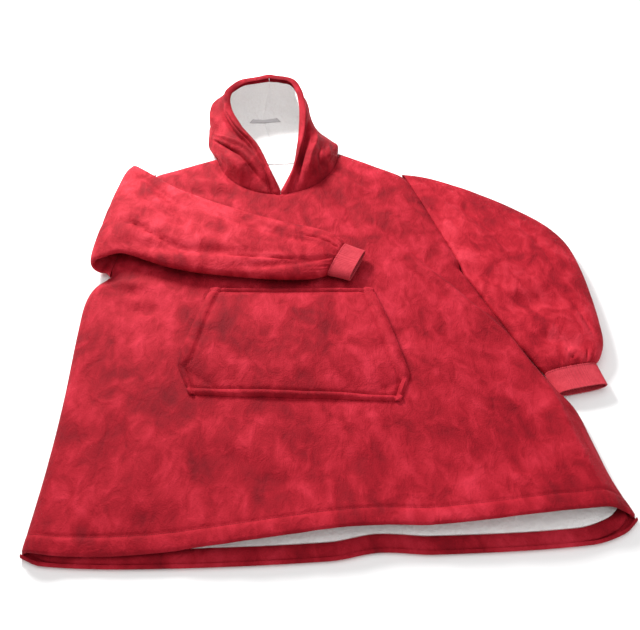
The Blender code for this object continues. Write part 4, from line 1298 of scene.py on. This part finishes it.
def hood_inward(side, grid, row, column, columns):
    """Direction from a point of the hood's outer face into the hood, one wall long."""
    last_row = len(grid) - 1
    last = len(columns) - 1
    around = grid[row][min(column + 1, last)] - grid[row][max(column - 1, 0)]
    forward = grid[min(row + 1, last_row)][column] - grid[max(row - 1, 0)][column]
    if row == last_row and column == last:
        return Vector((0, -1, 1))
    if row == last_row:
        return Vector((0, around.z, -around.y)).normalized()
    if column == last:
        return Vector((0, -forward.z, forward.y)).normalized()
    if row == 0 and columns[column] >= NECK_CORNER:
        return Vector((0, 0, 1))
    normal = forward.cross(around).normalized() * side
    if row == 0 and column == 0:
        normal.x = 0.0
    return normal.normalized()


def hood_relief(side, along, across, point):
    """Height of the hood's folds, rim band and lumps over its even form."""
    folds = HOOD_LEFT_FOLDS if side < 0 else HOOD_RIGHT_FOLDS
    relief = HOOD_GAIN * fold_height(folds, along, across)
    relief += lump_height(HOOD_LUMPS, *point)
    relief *= min(1.0, 8 * (1 - across)) * min(1.0, 12 * (1 - along))
    relief *= min(1.0, 10 * along + 0.1) * min(1.0, 3 * across / RIM_BAND + 0.3)
    if across < ROLL_BAND:
        relief += RIM_PUFF * math.sin(math.pi * across / ROLL_BAND) ** 0.6
        relief += RIM_GATHER * bump(1 - along, RIM_GATHER_HALF)
        relief += lump_height(RIM_LUMPS, along * HOOD_LENGTH, 0.0, side)
    relief -= RIM_GROOVE * bump(across - ROLL_BAND, RIM_GROOVE_HALF)
    return relief - HOOD_NECK_DIP * bump(along, HOOD_NECK_HALF)


@lru_cache(maxsize=None)
def hood_grid(side):
    """Outer face of one half of the hood and the directions into it."""
    sections = hood_sections(side)
    columns = denser(HOOD_COLUMNS, HOOD_ACROSS_STEP)
    grid = [[hood_point(side, sections, row / HOOD_ALONG_STEPS, across) for across in columns]
            for row in range(HOOD_ALONG_STEPS + 1)]
    inward = [[hood_inward(side, grid, row, column, columns) for column in range(len(columns))]
              for row in range(len(grid))]
    return columns, grid, inward


def hood_layer(side, depth):
    """Grid of points of one half of the hood at one depth."""
    columns, grid, inward = hood_grid(side)
    layer = []
    for row, line in enumerate(grid):
        along = row / HOOD_ALONG_STEPS
        out = []
        for column, point in enumerate(line):
            relief = hood_relief(side, along, columns[column], point)
            moved = point + inward[row][column] * (depth - relief)
            moved.z = max(moved.z, depth if columns[column] > NECK_CORNER else 0.0)
            out.append(moved)
        layer.append(out)
    return layer


def with_flap(columns, grid):
    """The grid with a seam allowance below its lowest row, where it stands on the front."""
    flap = []
    for across, point in zip(columns, grid[0]):
        deep = NECK_FLAP * clamp(8 * (NECK_CORNER - across))
        outward = Vector((point.x - NECK_X, point.y - NECK_Y, 0)).normalized()
        flap.append(point + outward * max(FLAP_LEAN * deep, GAP) - Vector((0, 0, deep)))
    return [flap] + grid


def part_columns(grid, first, last):
    """The stretch of a grid between two columns."""
    return [line[first:last + 1] for line in grid]


def build_hood_half(side, word, sizes):
    """One half of the hood with its lining, its turned edge and its stitches."""
    columns = hood_grid(side)[0]
    edge = min(range(len(columns)), key=lambda index: abs(columns[index] - RIM_BAND))
    end = len(columns) - 1
    outer = with_flap(columns, hood_layer(side, 0.0))
    inner = with_flap(columns, hood_layer(side, SHELL))
    outer, inner = with_nose(turned(outer), turned(inner), RIM_NOSE, SHELL)
    for grid in (outer, inner):
        for line in grid[:NOSE_STEPS]:
            line[-1].x = grid[NOSE_STEPS][-1].x - side * GAP
    half = shell("hood_" + word + "_cloth", outer, inner, material("fleece"))
    out = hood_layer(side, -sizes.thread_radius)
    thread = stitches("hood_stitches_" + word, [[line[edge] for line in out]], sizes)
    declare(half, ("hood_" + word,),
            (thread,))

    upper = hood_layer(side, LINING_TOP + HOOD_EASE)
    under = hood_layer(side, FACING_BACK + HOOD_EASE + HOOD_TURNING_EXTRA)
    facing = shell("hood_turning_" + word, part_columns(upper, 0, edge),
                   part_columns(under, 0, edge), material("fleece"))
    declare(facing, ("hood_facing_" + word,))
    low = hood_layer(side, LINING_BACK + HOOD_EASE)
    inward = hood_grid(side)[2]
    for row, line in enumerate(low):
        for column, point in enumerate(line):
            pile = lump_height(HOOD_PILE, *point)
            seam = min(1.0, 30 * (1 - columns[column]) + 0.05)
            point += inward[row][column] * CURL * (0.5 + 1.3 * pile) * seam
    lining = shell("hood_lining_cloth_" + word, part_columns(upper, edge, end),
                   part_columns(low, edge, end), material("sherpa"))
    declare(lining, ("hood_lining_" + word,))


# Pocket

POCKET_HEIGHT = 0.262
POCKET_WIDTH = 0.40
POCKET_HAND_BAND = 0.024
POCKET_SEWN_BAND = 0.011
POCKET_PUFF = 0.0034
POCKET_GROOVE = 0.0026
POCKET_BAND_CHANGE = 0.12
POCKET_STITCH_STEPS = 120
POCKET_STEPS_ACROSS = 104
POCKET_STEPS_DOWN = 72


def pocket_side(top, wide, low, down):
    """Point down one side of the pocket in plan."""
    if down < POCKET_HAND_SHARE:
        share = down / POCKET_HAND_SHARE
        return lerp(top.x, wide.x, share), lerp(top.y, wide.y, share)
    share = (down - POCKET_HAND_SHARE) / (1 - POCKET_HAND_SHARE)
    return lerp(wide.x, low.x, share), lerp(wide.y, low.y, share)


def pocket_edge_shape(down, across):
    """Height of the pocket's sewn bands near its edges."""
    sewn = clamp((down - POCKET_HAND_SHARE) / POCKET_BAND_CHANGE + 0.5)
    side_band = lerp(POCKET_HAND_BAND, POCKET_SEWN_BAND, sewn * sewn * (3 - 2 * sewn))
    bands = (
        (down * POCKET_HEIGHT, POCKET_SEWN_BAND),
        ((1 - down) * POCKET_HEIGHT, POCKET_SEWN_BAND + 0.003),
        (across * POCKET_WIDTH, side_band),
        ((1 - across) * POCKET_WIDTH, side_band),
    )
    height = 0.0
    for distance, band in bands:
        puff = math.sin(math.pi * distance / band) ** 0.7 if 0 < distance < band else 0.0
        height = max(height, POCKET_PUFF * puff)
    for distance, band in bands:
        height -= POCKET_GROOVE * bump(distance - band, GROOVE_HALF)
    return height


def pocket_point(down, across, depth):
    """Point of the pocket at a height over its under side."""
    x0, y0 = pocket_side(POCKET_TOP_LEFT, POCKET_WIDE_LEFT, POCKET_LOW_LEFT, down)
    x1, y1 = pocket_side(POCKET_TOP_RIGHT, POCKET_WIDE_RIGHT, POCKET_LOW_RIGHT, down)
    x = lerp(x0, x1, across)
    y = lerp(y0, y1, across)
    reach = lerp(POCKET_HAND_SHARE, 1.0, 1 - abs(2 * across - 1) ** 4)
    arch = POCKET_ARCH * math.sin(math.pi * min(down / reach, 1.0)) ** 0.7
    arch *= 1 + lump_height(ARCH_LUMPS, x, y)
    relief = pocket_edge_shape(down, across) + lump_height(POCKET_LUMPS, x, y)
    return Vector((x, y, front_point(x, y, 0.0).z + 2 * GAP + arch + depth + relief))


def pocket_layer(depth):
    """Grid of the pocket at a height over its under side."""
    return [[pocket_point(row / POCKET_STEPS_DOWN, column / POCKET_STEPS_ACROSS, depth)
             for column in range(POCKET_STEPS_ACROSS + 1)]
            for row in range(POCKET_STEPS_DOWN + 1)]


def build_pocket(sizes):
    """Kangaroo pocket with slanted open sides and sewn bands."""
    outer = pocket_layer(SHELL)
    inner = pocket_layer(0.0)
    for _ in range(4):
        outer, inner = with_nose(outer, inner, POCKET_NOSE, SHELL)
        outer, inner = ([line[::-1] for line in turned(grid)] for grid in (outer, inner))
    item = shell("pocket_cloth", outer, inner, material("fleece"))
    over = SHELL + sizes.thread_radius
    side = POCKET_HAND_BAND / POCKET_WIDTH
    top = POCKET_SEWN_BAND / POCKET_HEIGHT
    steps = [index / POCKET_STITCH_STEPS for index in range(POCKET_STITCH_STEPS + 1)]
    lines = [
        [pocket_point(top, lerp(0.02, 0.98, share), over) for share in steps],
        [pocket_point(1 - 1.3 * top, lerp(0.04, 0.96, share), over) for share in steps],
        [pocket_point(lerp(0.02, POCKET_HAND_SHARE, share), side, over) for share in steps],
        [pocket_point(lerp(0.02, POCKET_HAND_SHARE, share), 1 - side, over) for share in steps],
    ]
    thread = stitches("pocket_stitches", lines, sizes)
    declare(item, ("pocket",),
            (thread,))


# Label

LABEL_LIFT = 0.0022


def build_label(sizes):
    """Bare satin label sewn on the hood's lining, from the lining's own points."""
    first, last = (row * HOOD_ALONG_STEPS // (HOOD_ROWS - 1) for row in LABEL_ROWS)
    edge = HOOD_COLUMNS[-1 - LABEL_COLUMNS]

    def layer(depth):
        left, right = (hood_layer(side, depth) for side in (-1, 1))
        start = min(index for index, place in enumerate(hood_grid(1)[0]) if place >= edge)
        return [left[row][start:] + right[row][-2:start - 1:-1] for row in range(first, last + 1)]

    low = LINING_BACK + HOOD_EASE + LABEL_LIFT
    top = layer(low + LABEL_THICK)
    item = shell("bare_label", top, layer(low), material("label"))
    over = turned(layer(low + LABEL_THICK + sizes.thread_radius))
    thread = stitches("label_stitches", [over[1], over[-2]], sizes)
    declare(item, ("neck_label",),
            (thread,))


# Stage

CAMERA_PLACE = (-0.1067, -1.0084, 0.965)
CAMERA_TURN = (42.0, 0.0, -4.5)
CAMERA_LENS = 34.875
CAMERA_SENSOR = 36.0
WORLD_STRENGTH = 0.58
FLOOR_WIDTH = 12
FLOOR_DROP = 0.0005

# Name, place, width in metres and power in watts
LAMPS = (
    ("key", (-1.1, 1.9, 1.5), 0.7, 120),
    ("fill", (1.2, -1.6, 1.9), 1.6, 6),
    ("top", (-0.3, 0.1, 2.6), 2.0, 16),
)


def add_light(name, place, size, power):
    """Soft square white lamp that faces the garment's middle."""
    data = bpy.data.lights.new(name, "AREA")
    data.shape = "SQUARE"
    data.size = size
    data.energy = power
    data.color = linear("ffffff")[:3]
    lamp = bpy.data.objects.new(name, data)
    lamp.location = place
    lamp.rotation_euler = (-Vector(place)).to_track_quat("-Z", "Y").to_euler()
    bpy.context.scene.collection.objects.link(lamp)
    return lamp


def build_stage():
    """Floor, soft lamps, even surroundings and the camera."""
    bpy.ops.mesh.primitive_plane_add(size=FLOOR_WIDTH, location=(0, 0, -FLOOR_DROP))
    floor = bpy.context.object
    floor.name = "floor"
    white = bpy.data.materials.new("matt_white_paper")
    white.use_nodes = True
    shader = white.node_tree.nodes["Principled BSDF"]
    shader.inputs["Base Color"].default_value = linear("ffffff")
    shader.inputs["Roughness"].default_value = 1.0
    shader.inputs["Specular IOR Level"].default_value = 0.0
    floor.data.materials.append(white)
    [add_light(*lamp) for lamp in LAMPS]
    world = bpy.data.worlds.new("surroundings")
    world.use_nodes = True
    surroundings = world.node_tree.nodes["Background"].inputs
    surroundings["Color"].default_value = linear("ffffff")
    surroundings["Strength"].default_value = WORLD_STRENGTH
    bpy.context.scene.world = world
    bpy.context.scene.view_settings.view_transform = "Standard"
    data = bpy.data.cameras.new("camera")
    data.lens = CAMERA_LENS
    data.sensor_width = CAMERA_SENSOR
    camera = bpy.data.objects.new("camera", data)
    camera.location = CAMERA_PLACE
    camera.rotation_euler = [math.radians(turn) for turn in CAMERA_TURN]
    bpy.context.scene.collection.objects.link(camera)
    bpy.context.scene.camera = camera


# Add-on

def length(name, description, default):
    """A length property in metres."""
    return bpy.props.FloatProperty(name=name, description=description, default=default,
                                   min=0.0, precision=5, unit="LENGTH")


def colour(name, description, default):
    """A colour property from an sRGB colour written as six hex digits."""
    return bpy.props.FloatVectorProperty(name=name, description=description, size=4,
                                         default=linear(default), min=0.0, max=1.0,
                                         subtype="COLOR")


class HoodieSizes(bpy.types.PropertyGroup):
    """Sizes of the sewing."""
    stitch_pitch: length("Stitch pitch", "From one stitch to the next", 0.0036)
    stitch_length: length("Stitch length", "Length of thread that shows", 0.0027)
    thread_radius: length("Thread radius", "Half the thickness of the thread", 0.00035)
    rib_pitch: length("Rib pitch", "Width of one rib of the cuffs", CUFF_RIB)
    rib_depth: length("Rib depth", "Height of the ribs of the cuffs", CUFF_RIB_DEPTH)


class HoodieLook(bpy.types.PropertyGroup):
    """Colours of the cloth."""
    # The fleece shades are painted shade and sheen of the crushed nap, from dark to light
    fleece_dark: colour("Fleece dark", "Nap that lies away from the light", "600812")
    fleece_deep: colour("Fleece deep", "Between dark and middle", "820a1a")
    fleece_middle: colour("Fleece middle", "Most of the nap", "9c1020")
    fleece_light: colour("Fleece light", "Nap brushed to the light", "c62e40")
    # The sleeves' shades are the body's fleece painted lighter: painted highlight
    sleeve_dark: colour("Sleeve dark", "Dark nap of the sleeves", "6a0814")
    sleeve_deep: colour("Sleeve deep", "Between dark and middle on the sleeves", "8c0e1e")
    sleeve_middle: colour("Sleeve middle", "Most of the sleeves' nap", "aa1626")
    sleeve_light: colour("Sleeve light", "Light nap of the sleeves", "d03a4a")
    # Knit shades: painted light on the yarns' crowns and painted shade between them
    knit_light: colour("Knit light", "Crowns of the knit's yarn", "d04450")
    knit_dark: colour("Knit dark", "Between the knit's yarns", "a62634")
    sherpa_light: colour("Sherpa light", "Crowns of the pile's curls", "ffffff")
    # Painted shade between the pile's curls
    sherpa_shade: colour("Sherpa shade", "Between the pile's curls", "f6f4f2")
    label: colour("Label", "Satin of the bare label", "c9c6c8")
    thread: colour("Thread", "Sewing thread", "6a0a16")


class HOODIE_OT_front(bpy.types.Operator):
    """Build the front panel with its hem and lining"""
    bl_idname = "hoodie.front"
    bl_label = "Front"

    def execute(self, context):
        build_front(context.scene.hoodie_sizes)
        return {"FINISHED"}


class HOODIE_OT_back(bpy.types.Operator):
    """Build the back panel with its hem and lining"""
    bl_idname = "hoodie.back"
    bl_label = "Back"

    def execute(self, context):
        build_back()
        return {"FINISHED"}


class HOODIE_OT_sleeves(bpy.types.Operator):
    """Build both sleeves and their cuffs"""
    bl_idname = "hoodie.sleeves"
    bl_label = "Sleeves and cuffs"

    def execute(self, context):
        sizes = context.scene.hoodie_sizes
        folded, laid = sleeve_rings()
        build_sleeve("folded_sleeve_cloth", "sleeve_folded", folded, FOLDED_FINE_CREASES)
        build_sleeve("laid_sleeve_cloth", "sleeve_laid", laid, LAID_FINE_CREASES)
        build_cuff("folded_cuff_knit", "cuff_folded", folded[-1], sizes)
        build_cuff("laid_cuff_knit", "cuff_laid", laid[-1], sizes)
        return {"FINISHED"}


class HOODIE_OT_hood(bpy.types.Operator):
    """Build both halves of the hood with their linings"""
    bl_idname = "hoodie.hood"
    bl_label = "Hood"

    def execute(self, context):
        for side, word in ((-1, "left"), (1, "right")):
            build_hood_half(side, word, context.scene.hoodie_sizes)
        return {"FINISHED"}


class HOODIE_OT_pocket(bpy.types.Operator):
    """Build the kangaroo pocket"""
    bl_idname = "hoodie.pocket"
    bl_label = "Pocket"

    def execute(self, context):
        build_pocket(context.scene.hoodie_sizes)
        return {"FINISHED"}


class HOODIE_OT_label(bpy.types.Operator):
    """Build the bare label in the hood"""
    bl_idname = "hoodie.label"
    bl_label = "Label"

    def execute(self, context):
        build_label(context.scene.hoodie_sizes)
        return {"FINISHED"}


class HOODIE_OT_stage(bpy.types.Operator):
    """Set up the floor, the lamps and the camera"""
    bl_idname = "hoodie.stage"
    bl_label = "Stage"

    def execute(self, context):
        build_stage()
        return {"FINISHED"}


STEPS = (HOODIE_OT_stage, HOODIE_OT_back, HOODIE_OT_front, HOODIE_OT_pocket, HOODIE_OT_hood,
         HOODIE_OT_label, HOODIE_OT_sleeves)


class HOODIE_PT_panel(bpy.types.Panel):
    """Sizes, colours and steps of the hoodie"""
    bl_idname = "HOODIE_PT_panel"
    bl_label = "Hoodie"
    bl_space_type = "VIEW_3D"
    bl_region_type = "UI"
    bl_category = "Hoodie"

    def draw(self, context):
        for step in STEPS:
            self.layout.operator(step.bl_idname)
        for group in (context.scene.hoodie_sizes, context.scene.hoodie_look):
            for name in group.__annotations__:
                self.layout.prop(group, name)


CLASSES = (HoodieSizes, HoodieLook) + STEPS + (HOODIE_PT_panel,)


def register():
    """Register the classes and hang the properties on the scene."""
    for item in CLASSES:
        bpy.utils.register_class(item)
    bpy.types.Scene.hoodie_sizes = bpy.props.PointerProperty(type=HoodieSizes)
    bpy.types.Scene.hoodie_look = bpy.props.PointerProperty(type=HoodieLook)


def unregister():
    """Take the properties and the classes away."""
    del bpy.types.Scene.hoodie_look
    del bpy.types.Scene.hoodie_sizes
    for item in reversed(CLASSES):
        bpy.utils.unregister_class(item)


def main():
    """Build every piece in order."""
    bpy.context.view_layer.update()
    register()
    for step in STEPS:
        group, name = step.bl_idname.split(".")
        getattr(getattr(bpy.ops, group), name)()


if __name__ == "__main__":
    main()
